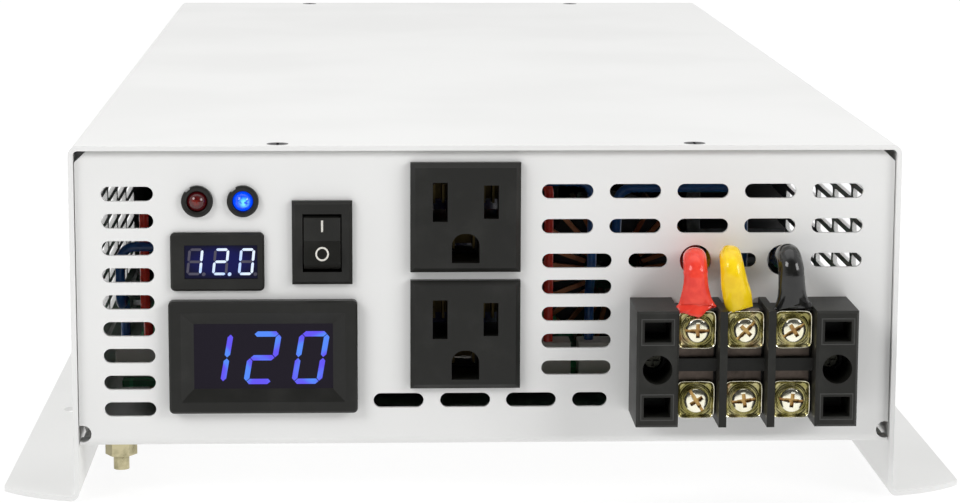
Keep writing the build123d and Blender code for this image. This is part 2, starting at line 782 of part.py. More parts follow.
def clamp(x, z, seat_y):
    """A square clamp plate with raised edges, its back on seat_y."""
    with BuildPart() as piece:
        with BuildSketch(facing(seat_y)):
            with Locations((x, z)):
                RectangleRounded(clamp_w, clamp_h, 0.8)
        extrude(amount=clamp_t)
        with BuildSketch(facing(seat_y - clamp_t)):
            with Locations((x - clamp_w / 2 + 0.6, z), (x + clamp_w / 2 - 0.6, z)):
                RectangleRounded(1.2, clamp_h - 1.0, 0.5)
        extrude(amount=clamp_edge)
        fillet(piece.faces().sort_by(Axis.Y)[0:2].edges(), radius=0.35)
        with BuildSketch(facing(seat_y)):
            with Locations((x, z)):
                Circle(clamp_screw_r + loose_fit)
        extrude(amount=clamp_t, mode=Mode.SUBTRACT)
    return piece.part


clamp_screw = screw(clamp_screw_r, clamp_screw_l, clamp_head_r, clamp_head_h)
low_seat = bar_y - bar_t
top_seat = low_seat - lug_t

with BuildPart() as upper_clamps:
    for x in pole_x:
        add(clamp(x, clamp_z[0], top_seat))

with BuildPart() as upper_screws:
    for x in pole_x:
        with Locations(turned(x, top_seat - clamp_t, clamp_z[0], toward_front)):
            add(clamp_screw)

with BuildPart() as clamp_left:
    add(clamp(pole_x[0], clamp_z[1], low_seat))

with BuildPart() as clamp_middle:
    add(clamp(pole_x[1], clamp_z[1], low_seat))

with BuildPart() as clamp_right:
    add(clamp(pole_x[2], clamp_z[1], low_seat))

with BuildPart() as screw_left:
    with Locations(turned(pole_x[0], low_seat - clamp_t, clamp_z[1], toward_front)):
        add(clamp_screw)

with BuildPart() as screw_middle:
    with Locations(turned(pole_x[1], low_seat - clamp_t, clamp_z[1], toward_front)):
        add(clamp_screw)

with BuildPart() as screw_right:
    with Locations(turned(pole_x[2], low_seat - clamp_t, clamp_z[1], toward_front)):
        add(clamp_screw)

block_screw = screw(block_screw_r, 9.0, 2.7, 1.8)
with BuildPart() as block_screws:
    for s in (1, -1):
        x = block_x + s * block_hole_step / 2
        with Locations(turned(x, face_y - 5.0, block_z, toward_front)):
            add(block_screw)
        with BuildSketch(facing(inner_y)):
            with Locations((x, block_z)):
                RegularPolygon(3.1, 6)
                Circle(block_screw_r, mode=Mode.SUBTRACT)
        extrude(amount=-2.4)

# ================================================================ leads to the terminal block
lead_holes = (lead_hole_x[0], 60.9, lead_hole_x[1])
sleeve_ends = (6.0, -1.2, 6.0)
boot_halves = (4.6, 3.8, 4.4)
lead_drop_y = face_y + 36.0


def lead(index):
    """A sleeved lead from the board, out through the panel and down to its clamp."""
    x_hole = lead_holes[index]
    x_pole = pole_x[index]
    boot = boot_halves[index]
    foot = (x_pole, face_y - lead_front, lead_boot_z)
    bend = (x_pole, face_y - lead_front, lead_top)
    enter = (x_hole, face_y + 1.0, lead_row_z)
    share = (sleeve_ends[index] + lead_front) / (1.0 + lead_front)
    sleeve_end = tuple(b + (e - b) * min(share, 1.0) for b, e in zip(bend, enter))
    with BuildPart() as piece:
        with BuildLine() as cover_path:
            if share > 1.0:
                inner_end = (x_hole, face_y + sleeve_ends[index], lead_row_z)
                FilletPolyline(foot, bend, enter, inner_end, radius=lead_bend * 0.9)
            else:
                FilletPolyline(foot, bend, sleeve_end, radius=lead_bend * 0.9)
        with BuildSketch(Plane(origin=foot, x_dir=(1, 0, 0), z_dir=(0, 0, 1))):
            Circle(lead_r)
        sweep()
        with BuildLine() as core_path:
            FilletPolyline(foot, bend, enter, (x_hole, lead_drop_y, lead_row_z),
                           (x_hole, lead_drop_y, board_top), radius=lead_bend * 0.9)
        with BuildSketch(Plane(origin=foot, x_dir=(1, 0, 0), z_dir=(0, 0, 1))):
            Circle(core_r)
        sweep()
        with BuildSketch(Plane.XY.offset(lead_boot_z)):
            with Locations((x_pole, face_y - lead_front)):
                Ellipse(boot, lead_r - 0.3)
        with BuildSketch(Plane.XY.offset(lead_boot_z + 4.5)):
            with Locations((x_pole, face_y - lead_front)):
                Ellipse(boot * 0.86, lead_r)
        with BuildSketch(Plane.XY.offset(lead_boot_z + 8.0)):
            with Locations((x_pole, face_y - lead_front)):
                Circle(lead_r)
        loft()
        with BuildSketch(Plane.XY.offset(lead_boot_z)):
            with Locations((x_pole, low_seat - lug_t / 2)):
                Rectangle(4.4, 1.8)
        extrude(amount=6.2, mode=Mode.SUBTRACT)
    return piece.part


with BuildPart() as lead_red:
    add(lead(0))

with BuildPart() as lead_yellow:
    add(lead(1))

with BuildPart() as lead_black:
    add(lead(2))

with BuildPart() as lead_lugs:
    for x in pole_x:
        with BuildSketch(facing(low_seat)):
            with Locations((x, clamp_z[0])):
                Circle(3.9)
            with Locations((x, (clamp_z[0] + lead_boot_z) / 2 + 3.0)):
                Rectangle(4.2, lead_boot_z - clamp_z[0] + 6.0)
            with Locations((x, clamp_z[0])):
                Circle(clamp_screw_r + 0.2, mode=Mode.SUBTRACT)
        extrude(amount=lug_t)

# ================================================================ earth stud
washer_t = 0.8
with BuildPart() as earth_stud:
    with BuildSketch(Plane.XY.offset(floor_top)):
        with Locations((earth_x, earth_y)):
            RegularPolygon(3.9, 6)
    extrude(amount=2.6)
    with BuildSketch(Plane.XY.offset(floor_top)):
        with Locations((earth_x, earth_y)):
            Circle(earth_r)
    extrude(amount=earth_end - floor_top)

with BuildPart() as earth_washer:
    with BuildSketch(Plane.XY.offset(floor_z)):
        with Locations((earth_x, earth_y)):
            Circle(4.4)
            Circle(earth_r + loose_fit, mode=Mode.SUBTRACT)
    extrude(amount=-washer_t)

with BuildPart() as earth_nut:
    with BuildSketch(Plane.XY.offset(floor_z - washer_t)):
        with Locations((earth_x, earth_y)):
            RegularPolygon(4.04, 6)
            Circle(earth_r + thread_fit, mode=Mode.SUBTRACT)
    extrude(amount=-3.2)

# ================================================================ board and what stands on it
with BuildPart() as board:
    with BuildSketch(Plane.XY.offset(board_z)):
        with Locations((0, board_mid)):
            Rectangle(board_w, board_back - board_front)
        with Locations(*board_fixings):
            Circle(cover_screw_r + small_gap, mode=Mode.SUBTRACT)
    extrude(amount=board_t)

with BuildPart() as standoffs:
    with BuildSketch(Plane.XY.offset(floor_top)):
        with Locations(*board_fixings):
            Circle(standoff_r)
            Circle(cover_screw_r + small_gap, mode=Mode.SUBTRACT)
    extrude(amount=standoff_h)

board_screw = screw(cover_screw_r, board_t + standoff_h + sheet, small_head_r, small_head_h)
with BuildPart() as board_screws:
    with Locations(*[(x, y, board_top) for x, y in board_fixings]):
        add(board_screw)

sink_in = 63.0
sink_plate = 4.0
sink_out = 92.0
sink_h = 52.0
sink_fin = 1.8
sink_fins = 7
sink_front = board_front + 81.0
sink_back = board_back - 45.0
with BuildPart() as heatsinks:
    for side_x in (1, -1):
        with BuildSketch(facing(sink_front)):
            with Locations((side_x * (sink_in + sink_plate / 2), board_top + sink_h / 2)):
                Rectangle(sink_plate, sink_h)
            fin_mid = (sink_in + sink_plate + sink_out) / 2
            for i in range(sink_fins):
                fin_z = board_top + sink_fin / 2 + i * (sink_h - sink_fin) / (sink_fins - 1)
                with Locations((side_x * fin_mid, fin_z)):
                    Rectangle(sink_out - sink_in - sink_plate, sink_fin)
        extrude(amount=-(sink_back - sink_front))

transistor_step = 26.0
transistor_count = int((sink_back - sink_front - 28.0) / transistor_step) + 1
transistor_ys = [sink_front + 14 + i * transistor_step for i in range(transistor_count)]
with BuildPart() as transistors:
    for side_x in (1, -1):
        for y in transistor_ys:
            with Locations((side_x * (sink_in - 2.3), y, board_top + 22)):
                Box(4.6, 10.2, 15.5)
            for leg in (-2.54, 0, 2.54):
                with Locations((side_x * (sink_in - 2.3), y + leg, board_top + 7.2)):
                    Box(0.6, 0.8, 14.4)

core_w = 55.0
core_d = 21.0
core_h = 55.0
core_leg = 9.0
core_mid = 17.0
core_step = (sink_back - sink_front) / 3
core_ys = [(sink_front + sink_back) / 2 + i * core_step for i in (-1, 0, 1)]
core_window_h = core_h - 2 * core_leg
with BuildPart() as transformer_cores:
    for y in core_ys:
        with BuildSketch(facing(y + core_d / 2)):
            with Locations((0, board_top + core_h / 2)):
                Rectangle(core_w, core_h)
            window_w = (core_w - 2 * core_leg - core_mid) / 2
            for s in (1, -1):
                with Locations((s * (core_mid + window_w) / 2, board_top + core_h / 2)):
                    Rectangle(window_w, core_window_h, mode=Mode.SUBTRACT)
        extrude(amount=core_d)

with BuildPart() as transformer_windings:
    for y in core_ys:
        with BuildSketch(Plane.XY.offset(board_top + core_leg + 0.5)):
            with Locations((0, y)):
                RectangleRounded(core_w - 2 * core_leg - 0.6, core_d + 20, 8.0)
                Rectangle(core_mid + 0.6, core_d + 0.6, mode=Mode.SUBTRACT)
        extrude(amount=core_window_h - 1.0)

tall_can_y = board_front + 36.0
can_y = board_back - 22.0
capacitor_spots = [(x, tall_can_y, 15.0, 45.0) for x in (-40.0, -5.0)]
capacitor_spots += [(s * x, can_y, 9.0, 36.0) for s in (1, -1) for x in (40.0, 62.0, 84.0)]
with BuildPart() as capacitors:
    for x, y, radius, height in capacitor_spots:
        with Locations((x, y, board_top + height / 2)):
            Cylinder(radius, height)
    can_tops = capacitors.edges().filter_by(GeomType.CIRCLE).filter_by(
        lambda e: e.center().Z > board_top + 30)
    fillet(can_tops, radius=1.0)

choke_x = 38.0
choke_y = board_front + 46.0
choke_r = 20.0
choke_bore = 10.0
choke_t = 16.0
choke_z = board_top + choke_r + 2.2
with BuildPart() as choke_core:
    with BuildSketch(facing(choke_y + choke_t / 2)):
        with Locations((choke_x, choke_z)):
            Circle(choke_r)
            Circle(choke_bore, mode=Mode.SUBTRACT)
    extrude(amount=choke_t)

turns = 24
turn_t = 1.6
with BuildPart() as choke_winding:
    for i in range(turns):
        angle = i * 330.0 / turns + 105.0
        turn_plane = Plane(origin=(choke_x, choke_y, choke_z),
                           x_dir=(cos(radians(angle)), 0, sin(radians(angle))),
                           z_dir=(-sin(radians(angle)), 0, cos(radians(angle))))
        ring_mid = (choke_r + choke_bore) / 2
        with BuildSketch(turn_plane):
            with Locations((ring_mid, 0)):
                Rectangle(choke_r - choke_bore + 2 * turn_t + 0.2, choke_t + 2 * turn_t + 0.2)
                Rectangle(choke_r - choke_bore + 0.2, choke_t + 0.2, mode=Mode.SUBTRACT)
        extrude(amount=0.65, both=True)

fuse_y = board_back - 38.0
with BuildPart() as fuses:
    for i in range(4):
        with Locations((-18.0 + i * 12.0, fuse_y, board_top + 8.0)):
            Box(5.0, 19.0, 12.0)
        for dy in (-6.0, 6.0):
            with Locations((-18.0 + i * 12.0, fuse_y + dy, board_top + 1.0)):
                Box(0.8, 5.0, 2.0)

connector_y = board_front + 8.0
connector_h = 9.0
with BuildPart() as connectors:
    for x in (-90.0, 18.0, 32.0, -8.0):
        with Locations((x, connector_y, board_top + connector_h / 2)):
            Box(12.0, 8.0, connector_h)

# ================================================================ wires behind the panel
red_routes = (
    ((outlet_x - blade_step / 2, tab_back, outlet_z[0] + blade_rise),
     (outlet_x - blade_step / 2, tab_back + 11, outlet_z[0] + blade_rise),
     (18.0, tab_back + 11, outlet_z[0] + blade_rise),
     (18.0, tab_back + 11, board_top + connector_h)),
    ((switch_x, switch_tab_end, switch_z + 5.5), (switch_x, switch_tab_end + 9, switch_z + 5.5),
     (-87.5, switch_tab_end + 9, switch_z + 5.5),
     (-87.5, switch_tab_end + 9, board_top + connector_h + 8),
     (-87.5, connector_y, board_top + connector_h + 8), (-87.5, connector_y, board_top + connector_h)))
blue_routes = (
    ((outlet_x + blade_step / 2, tab_back, outlet_z[0] + blade_rise),
     (outlet_x + blade_step / 2, tab_back + 6, outlet_z[0] + blade_rise),
     (29.0, tab_back + 6, outlet_z[0] + blade_rise),
     (29.0, tab_back + 6, 52.0), (29.0, connector_y, 46.0), (29.0, connector_y, board_top + connector_h)),
    ((switch_x, switch_tab_end, switch_z - 5.5), (switch_x, switch_tab_end + 5, switch_z - 5.5),
     (-93.5, switch_tab_end + 5, switch_z - 5.5),
     (-93.5, switch_tab_end + 5, board_top + connector_h + 12),
     (-93.5, connector_y, board_top + connector_h + 12), (-93.5, connector_y, board_top + connector_h)),
    ((69.0, board_front + 3.0, board_top), (69.0, board_front + 3.0, 74.0),
     (36.0, board_front + 3.0, 74.0), (36.0, connector_y, 60.0),
     (36.0, connector_y, board_top + connector_h)))

with BuildPart() as wires_red:
    for points in red_routes:
        with BuildLine() as route:
            FilletPolyline(*points, radius=wire_bend)
        with BuildSketch(Plane(origin=route.line @ 0, z_dir=route.line % 0)):
            Circle(wire_r)
        sweep()

with BuildPart() as wires_blue:
    for points in blue_routes:
        with BuildLine() as route:
            FilletPolyline(*points, radius=wire_bend)
        with BuildSketch(Plane(origin=route.line @ 0, z_dir=route.line % 0)):
            Circle(wire_r)
        sweep()

# ================================================================ fans
fan_out = back_y - sheet
fan_in = fan_out - fan_d
hub_in = fan_in + 3.7
hub_l = 17.0


def fan_frame(x):
    """A square fan frame with a motor plate carried on four struts and the rotor's shaft."""
    with BuildPart() as piece:
        with BuildSketch(facing(fan_out)):
            with Locations((x, fan_z)):
                RectangleRounded(fan_w, fan_w, 4.0)
                Circle(fan_hole_r, mode=Mode.SUBTRACT)
                with GridLocations(fan_hole_step, fan_hole_step, 2, 2):
                    Circle(1.95, mode=Mode.SUBTRACT)
        extrude(amount=fan_d)
        with BuildSketch(facing(fan_in + 3.0)):
            with Locations((x, fan_z)):
                Rectangle(2 * fan_hole_r + 1.0, 3.4, rotation=45)
                Rectangle(2 * fan_hole_r + 1.0, 3.4, rotation=-45)
                Circle(fan_hub_r + 1.0)
        extrude(amount=3.0)
        with BuildSketch(facing(fan_in + 3.0)):
            with Locations((x, fan_z)):
                Circle(fan_shaft_r)
        extrude(amount=-(hub_l - 1.0))
    return piece.part


with BuildPart() as fan_frames:
    add(fan_frame(-fan_x))
    add(fan_frame(fan_x))


def fan_rotor(x):
    """Seven pitched blades on a cupped hub, bored for the shaft."""
    with BuildPart() as piece:
        for i in range(fan_blades):
            angle = radians(i * 360.0 / fan_blades)
            blade_plane = Plane(
                origin=(x + (fan_hub_r - 1) * cos(angle), hub_in + hub_l / 2,
                        fan_z + (fan_hub_r - 1) * sin(angle)),
                x_dir=(-sin(angle), 0, cos(angle)), z_dir=(cos(angle), 0, sin(angle)))
            with BuildSketch(blade_plane):
                SlotOverall(18.0, 1.4, rotation=52)
            extrude(amount=fan_tip_r - fan_hub_r + 3)
        with BuildSketch(facing(hub_in)):
            with Locations((x, fan_z)):
                Circle(fan_tip_r)
        extrude(amount=-hub_l, mode=Mode.INTERSECT)
        with BuildSketch(facing(hub_in)):
            with Locations((x, fan_z)):
                Circle(fan_hub_r)
        extrude(amount=-hub_l)
        with BuildSketch(facing(hub_in)):
            with Locations((x, fan_z)):
                Circle(fan_hub_r - 1.5)
                Circle(3.0, mode=Mode.SUBTRACT)
        extrude(amount=-(hub_l - 2.0), mode=Mode.SUBTRACT)
        with BuildSketch(facing(hub_in)):
            with Locations((x, fan_z)):
                Circle(fan_shaft_r + 0.05)
        extrude(amount=-(hub_l - 1.5), mode=Mode.SUBTRACT)
    return piece.part


with BuildPart() as fan_rotor_left:
    add(fan_rotor(-fan_x))

with BuildPart() as fan_rotor_right:
    add(fan_rotor(fan_x))

fan_screw = screw(1.9, 12.0, 3.6, 2.2)
with BuildPart() as fan_screws:
    for side_x in (1, -1):
        for dx in (1, -1):
            for dz in (1, -1):
                spot = (side_x * fan_x + dx * fan_hole_step / 2, back_y, fan_z + dz * fan_hole_step / 2)
                with Locations(turned(*spot, toward_back)):
                    add(fan_screw)

# ================================================================ battery posts
collar_in = back_y - 4.0
bar_in = collar_in - bus_t
shelf_z = post_z - bus_w / 2
foot_y = board_back - 12.0
with BuildPart() as bus_bars:
    for side_x in (1, -1):
        with BuildSketch(facing(collar_in)):
            with Locations((side_x * post_x, post_z)):
                Rectangle(bus_w, bus_w)
                Circle(post_r + small_gap, mode=Mode.SUBTRACT)
        extrude(amount=bus_t)
        with BuildSketch(Plane.XY.offset(shelf_z)):
            with Locations((side_x * post_x, (foot_y + collar_in) / 2)):
                Rectangle(bus_w, collar_in - foot_y)
        extrude(amount=bus_t)
        with BuildSketch(facing(foot_y + bus_t)):
            with Locations((side_x * post_x, (board_top + shelf_z) / 2)):
                Rectangle(bus_w, shelf_z - board_top)
        extrude(amount=bus_t)

post_head_t = 5.3
with BuildPart() as battery_posts:
    for side_x in (1, -1):
        with BuildSketch(facing(bar_in)):
            with Locations((side_x * post_x, post_z)):
                RegularPolygon(6.9, 6)
        extrude(amount=post_head_t)
        with BuildSketch(facing(bar_in)):
            with Locations((side_x * post_x, post_z)):
                Circle(post_r)
        extrude(amount=-(back_y + post_base_t + post_washer_t + knob_l + post_spare - bar_in))
    chamfer(battery_posts.faces().sort_by(Axis.Y)[-2:].edges(), length=0.8)


def post_base(x):
    """Insulating base of a battery post: flange outside, collar through the panel."""
    with BuildPart() as piece:
        with BuildSketch(facing(back_y)):
            with Locations((x, post_z)):
                Circle(post_base_r)
        extrude(amount=-post_base_t)
        fillet(piece.faces().sort_by(Axis.Y)[-1].edges(), radius=1.0)
        with BuildSketch(facing(back_y)):
            with Locations((x, post_z)):
                Circle(post_hole_r - 0.1)
        extrude(amount=back_y - collar_in)
        with BuildSketch(facing(collar_in)):
            with Locations((x, post_z)):
                Circle(post_r + small_gap)
        extrude(amount=-(post_base_t + back_y - collar_in), mode=Mode.SUBTRACT)
    return piece.part


def post_washer(x):
    """Flat washer between a base and its knob."""
    with BuildPart() as piece:
        with BuildSketch(facing(back_y + post_base_t)):
            with Locations((x, post_z)):
                Circle(post_washer_r)
                Circle(post_r + loose_fit, mode=Mode.SUBTRACT)
        extrude(amount=-post_washer_t)
    return piece.part


def post_knob(x):
    """Fluted knob nut of a battery post."""
    knob_y = back_y + post_base_t + post_washer_t
    with BuildPart() as piece:
        with BuildSketch(facing(knob_y)):
            with Locations((x, post_z)):
                Circle(knob_r)
                with PolarLocations(knob_r + 0.6, 12):
                    Circle(1.6, mode=Mode.SUBTRACT)
        extrude(amount=-knob_l)
        with BuildSketch(facing(knob_y)):
            with Locations((x, post_z)):
                Circle(knob_r - 2.4)
        extrude(amount=-knob_l)
        with BuildSketch(facing(knob_y)):
            with Locations((x, post_z)):
                Circle(post_r + thread_fit)
        extrude(amount=-knob_l, mode=Mode.SUBTRACT)
    return piece.part


with BuildPart() as base_red:
    add(post_base(post_x))

with BuildPart() as base_black:
    add(post_base(-post_x))

with BuildPart() as washer_red:
    add(post_washer(post_x))

with BuildPart() as washer_black:
    add(post_washer(-post_x))

with BuildPart() as knob_red:
    add(post_knob(post_x))

with BuildPart() as knob_black:
    add(post_knob(-post_x))

# ================================================================ export
pieces = {
    "cover": cover, "tray": tray, "cover_screws": cover_screws, "side_screws": side_screws,
    "outlets": outlets, "outlet_contacts": outlet_contacts, "switch_frame": switch_frame, "rocker": rocker,
    "switch_tabs": switch_tabs, "lamp_rings": lamp_rings, "lamp_red": lamp_red,
    "lamp_blue": lamp_blue, "dc_meter_case": dc_meter_case, "ac_meter_case": ac_meter_case,
    "meter_windows": meter_windows, "meter_displays": meter_displays,
    "terminal_block": terminal_block, "terminal_bars": terminal_bars,
    "upper_clamps": upper_clamps, "upper_screws": upper_screws, "clamp_left": clamp_left,
    "clamp_middle": clamp_middle, "clamp_right": clamp_right, "screw_left": screw_left,
    "screw_middle": screw_middle, "screw_right": screw_right, "block_screws": block_screws,
    "lead_red": lead_red, "lead_yellow": lead_yellow, "lead_black": lead_black,
    "lead_lugs": lead_lugs, "earth_stud": earth_stud, "earth_washer": earth_washer,
    "earth_nut": earth_nut, "board": board, "standoffs": standoffs,
    "board_screws": board_screws, "heatsinks": heatsinks, "transistors": transistors,
    "transformer_cores": transformer_cores, "transformer_windings": transformer_windings,
    "capacitors": capacitors, "choke_core": choke_core, "choke_winding": choke_winding,
    "fuses": fuses, "connectors": connectors, "wires_red": wires_red,
    "wires_blue": wires_blue, "fan_frames": fan_frames, "fan_rotor_left": fan_rotor_left,
    "fan_rotor_right": fan_rotor_right, "fan_screws": fan_screws, "bus_bars": bus_bars,
    "battery_posts": battery_posts, "base_red": base_red, "base_black": base_black,
    "washer_red": washer_red, "washer_black": washer_black, "knob_red": knob_red,
    "knob_black": knob_black}

for name, piece in pieces.items():
    piece.part.label = name
    export_step(piece.part, f"parts/{name}.step")
    print(name, len(piece.part.solids()))
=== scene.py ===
import json
import math

import bmesh
import bpy
from mathutils import Matrix, Vector, bvhtree, noise


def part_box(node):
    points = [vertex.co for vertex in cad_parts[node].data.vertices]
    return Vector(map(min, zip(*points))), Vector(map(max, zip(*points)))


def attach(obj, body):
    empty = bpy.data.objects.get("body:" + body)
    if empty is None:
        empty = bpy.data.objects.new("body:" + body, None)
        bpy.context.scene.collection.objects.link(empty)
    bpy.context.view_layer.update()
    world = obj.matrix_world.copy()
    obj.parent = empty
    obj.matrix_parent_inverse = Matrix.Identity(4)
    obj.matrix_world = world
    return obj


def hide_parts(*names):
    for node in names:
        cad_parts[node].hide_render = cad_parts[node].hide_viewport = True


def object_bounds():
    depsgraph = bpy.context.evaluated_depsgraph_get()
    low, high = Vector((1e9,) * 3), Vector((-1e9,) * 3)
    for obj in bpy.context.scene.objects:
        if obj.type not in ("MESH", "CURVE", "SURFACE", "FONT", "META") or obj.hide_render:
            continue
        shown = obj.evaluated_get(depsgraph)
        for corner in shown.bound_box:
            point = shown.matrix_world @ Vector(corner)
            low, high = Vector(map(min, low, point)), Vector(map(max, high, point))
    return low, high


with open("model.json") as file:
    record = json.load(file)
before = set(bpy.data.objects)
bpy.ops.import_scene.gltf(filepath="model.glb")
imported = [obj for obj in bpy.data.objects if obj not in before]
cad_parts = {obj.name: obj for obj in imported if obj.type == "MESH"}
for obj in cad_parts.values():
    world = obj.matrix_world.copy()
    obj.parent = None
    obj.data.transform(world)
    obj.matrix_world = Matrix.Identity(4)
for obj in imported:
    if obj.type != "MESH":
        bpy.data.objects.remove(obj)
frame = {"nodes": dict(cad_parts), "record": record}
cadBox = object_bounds()
nodes = frame["nodes"]
print("frame loaded:", len(nodes), "nodes")

mm = 0.001


def lowOf(node):
    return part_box(node)[0] / mm


def highOf(node):
    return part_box(node)[1] / mm


def middleOf(node):
    return (lowOf(node) + highOf(node)) / 2


panelY = lowOf("tray").y  # outer face of the front panel
lampNodes = ("lamp_red", "lamp_blue")
sideNames = ("left", "middle", "right")
poleX = [middleOf("screw_" + side).x for side in sideNames]
upperZ, lowerZ = middleOf("upper_screws").z, middleOf("screw_left").z
lowSeat = highOf("clamp_left").y  # where the lower plates bear on the bars
topSeat = highOf("upper_clamps").y
screenY = lowOf("meter_windows").y


# shader flow: a wrapped socket that adds nodes as it is used in sums
class Flow:
    def __init__(self, tree, socket=None):
        self.tree = tree
        self.socket = socket

    def node(self, kind, settings=None, values=None, out=0):
        made = self.tree.nodes.new(kind)
        for name, value in (settings or {}).items():
            if name == "stops":
                ramp = made.color_ramp
                while len(ramp.elements) < len(value):
                    ramp.elements.new(0.5)
                for stop, (place, colour) in zip(ramp.elements, value):
                    stop.position = place
                    stop.color = (*colour, 1) if len(colour) == 3 else colour
            else:
                setattr(made, name, value)
        for name, value in (values or {}).items():
            if isinstance(value, Flow):
                self.tree.links.new(value.socket, made.inputs[name])
            elif isinstance(value, tuple) and made.inputs[name].type == "RGBA":
                made.inputs[name].default_value = (*value[:3], 1)
            else:
                made.inputs[name].default_value = value
        return Flow(self.tree, made.outputs[out] if made.outputs else None)

    def maths(self, operation, *terms):
        return self.node("ShaderNodeMath", {"operation": operation}, dict(enumerate(terms)))

    def __add__(self, other):
        return self.maths("ADD", self, other)

    def __radd__(self, other):
        return self.maths("ADD", other, self)

    def __sub__(self, other):
        return self.maths("SUBTRACT", self, other)

    def __rsub__(self, other):
        return self.maths("SUBTRACT", other, self)

    def __mul__(self, other):
        return self.maths("MULTIPLY", self, other)

    def size(self):
        return self.maths("ABSOLUTE", self)

    def fade(self, low, high):  # 0 below low, 1 above high
        return self.node("ShaderNodeMapRange", {"interpolation_type": "SMOOTHSTEP"},
                         {"Value": self, "From Min": low, "From Max": high})

    def mix(self, share, first, second):
        return self.node("ShaderNodeMix", {"data_type": "RGBA"}, {0: share, 6: first, 7: second}, out=2)

    def place(self):
        return self.node("ShaderNodeTexCoord", out="Object")

    def cloud(self, perMetre, detail=3.0, rough=0.5, twist=0.0, stretch=None):
        where = self.place()
        if stretch:
            where = self.node("ShaderNodeVectorMath", {"operation": "MULTIPLY"}, {0: where, 1: stretch})
        return self.node("ShaderNodeTexNoise", None, {
            "Vector": where, "Scale": perMetre, "Detail": detail, "Roughness": rough, "Distortion": twist})

    def bump(self, height, depth, strength=1.0):
        return self.node("ShaderNodeBump", None, {"Height": height, "Distance": depth, "Strength": strength})


def newMaterial(name, build):
    made = bpy.data.materials.new(name)
    made.use_nodes = True
    made.node_tree.nodes.clear()
    flow = Flow(made.node_tree)
    shader = build(flow)
    flow.node("ShaderNodeOutputMaterial", None, {"Surface": shader})
    return made


def principled(flow, **values):
    named = {key.replace("_", " "): value for key, value in values.items()}
    return flow.node("ShaderNodeBsdfPrincipled", None, named)


# powder-coated steel
coatLook = {
    "colour": (0.80, 0.80, 0.79), "shade": (0.765, 0.765, 0.755), "roughness": 0.44,
    "peel": 620, "peelDepth": 0.00002, "grain": 3200, "grainDepth": 0.000006}


def powderCoat(flow):
    drift = flow.cloud(14, 2)
    peel = flow.cloud(coatLook["peel"], 1.5)
    grain = flow.cloud(coatLook["grain"], 2)
    colour = flow.mix(drift.fade(0.35, 0.65), coatLook["colour"], coatLook["shade"])
    height = peel * coatLook["peelDepth"] + grain * coatLook["grainDepth"]
    return principled(
        flow, Base_Color=colour, Roughness=coatLook["roughness"] + (grain - 0.5) * 0.12,
        Normal=flow.bump(height, 1.0), Coat_Weight=0.08, Coat_Roughness=0.3)


# moulded plastics
def mouldedPlastic(colour, roughness, dust, grainSize=2600, grainDepth=0.000006, shine=0.3):
    def build(flow):
        grain = flow.cloud(grainSize, 2)
        smear = flow.cloud(90, 4, 0.6)
        tone = flow.mix(smear.fade(0.45, 0.75) * dust, colour, tuple(min(1, c * 1.8 + 0.012) for c in colour))
        return principled(
            flow, Base_Color=tone, Roughness=roughness + (smear - 0.5) * 0.14 + (grain - 0.5) * 0.06,
            Normal=flow.bump(grain * grainDepth, 1.0), Specular_IOR_Level=shine)
    return build


# the terminal block's moulding, with a fine raised outline round each pocket of its ends; the outline's
# lighter colour is a painted highlight of its edge
pocketLook = {
    "inFromEnd": 5.15, "fromMiddle": 9.4, "halfWide": 3.3, "halfHigh": 2.5, "away": 0.6, "wide": 0.2}


def blockMoulding(flow):
    look = pocketLook
    low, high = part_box("terminal_block")
    grain = flow.cloud(2600, 2)
    smear = flow.cloud(90, 4, 0.6)
    x = flow.node("ShaderNodeSeparateXYZ", None, {0: flow.place()}, out=0)
    z = flow.node("ShaderNodeSeparateXYZ", None, {0: flow.place()}, out=2)
    reach = (high.x - low.x) / 2 - look["inFromEnd"] * mm
    across = ((x - (low.x + high.x) / 2).size() - reach).size() - look["halfWide"] * mm
    along = ((z - (low.z + high.z) / 2).size() - look["fromMiddle"] * mm).size() - look["halfHigh"] * mm
    gap = flow.maths("MAXIMUM", across, along)
    start, end = look["away"] * mm, (look["away"] + look["wide"]) * mm
    # painted highlight: a thin lighter band round each pocket, which the bump also raises a little
    rimAndPaintedHighlight = gap.fade(start - 0.05 * mm, start) * (1.0 - gap.fade(end, end + 0.05 * mm))
    tone = flow.mix(smear.fade(0.45, 0.75) * 0.5, (0.0115, 0.0115, 0.0095), (0.033, 0.033, 0.029))
    return principled(
        flow, Base_Color=flow.mix(rimAndPaintedHighlight * 0.6, tone, (0.075, 0.075, 0.072)),
        Roughness=0.44 + (smear - 0.5) * 0.14 + (grain - 0.5) * 0.06,
        Normal=flow.bump(grain * 0.000006 + rimAndPaintedHighlight * 0.00003, 1.0), Specular_IOR_Level=0.28)


# plated and bare metals
def platedMetal(stops, roughness, blotch=160, scratch=0.15, metallic=1.0):
    def build(flow):
        patches = flow.cloud(blotch, 3, 0.55, 0.4)
        lines = flow.cloud(1500, 2, 0.6, 0, (1, 12, 1))
        colour = flow.node("ShaderNodeValToRGB", {"stops": stops}, {"Fac": patches})
        return principled(
            flow, Base_Color=colour, Metallic=metallic,
            Roughness=roughness + (lines - 0.5) * scratch + (patches - 0.5) * 0.12,
            Normal=flow.bump(lines * 0.000004, 1.0))
    return build


# shrink sleeves and wire insulation; the colour turns to the darker deep tone in the hollows of the folds, a
# painted shade
def sleeve(colour, deep, roughness, ripple, shine=0.4):
    def build(flow):
        folds = flow.cloud(260, 3, 0.5, 0.6)
        speck = flow.cloud(3000, 1)
        # painted shade: the darker deep tone where the fold bump is low
        tone = flow.mix(folds.fade(0.3, 0.7), deep, colour)
        return principled(
            flow, Base_Color=tone, Roughness=roughness + (speck - 0.5) * 0.08,
            Normal=flow.bump(folds * ripple, 1.0), Specular_IOR_Level=shine,
            Coat_Weight=0.3, Coat_Roughness=0.05)
    return build


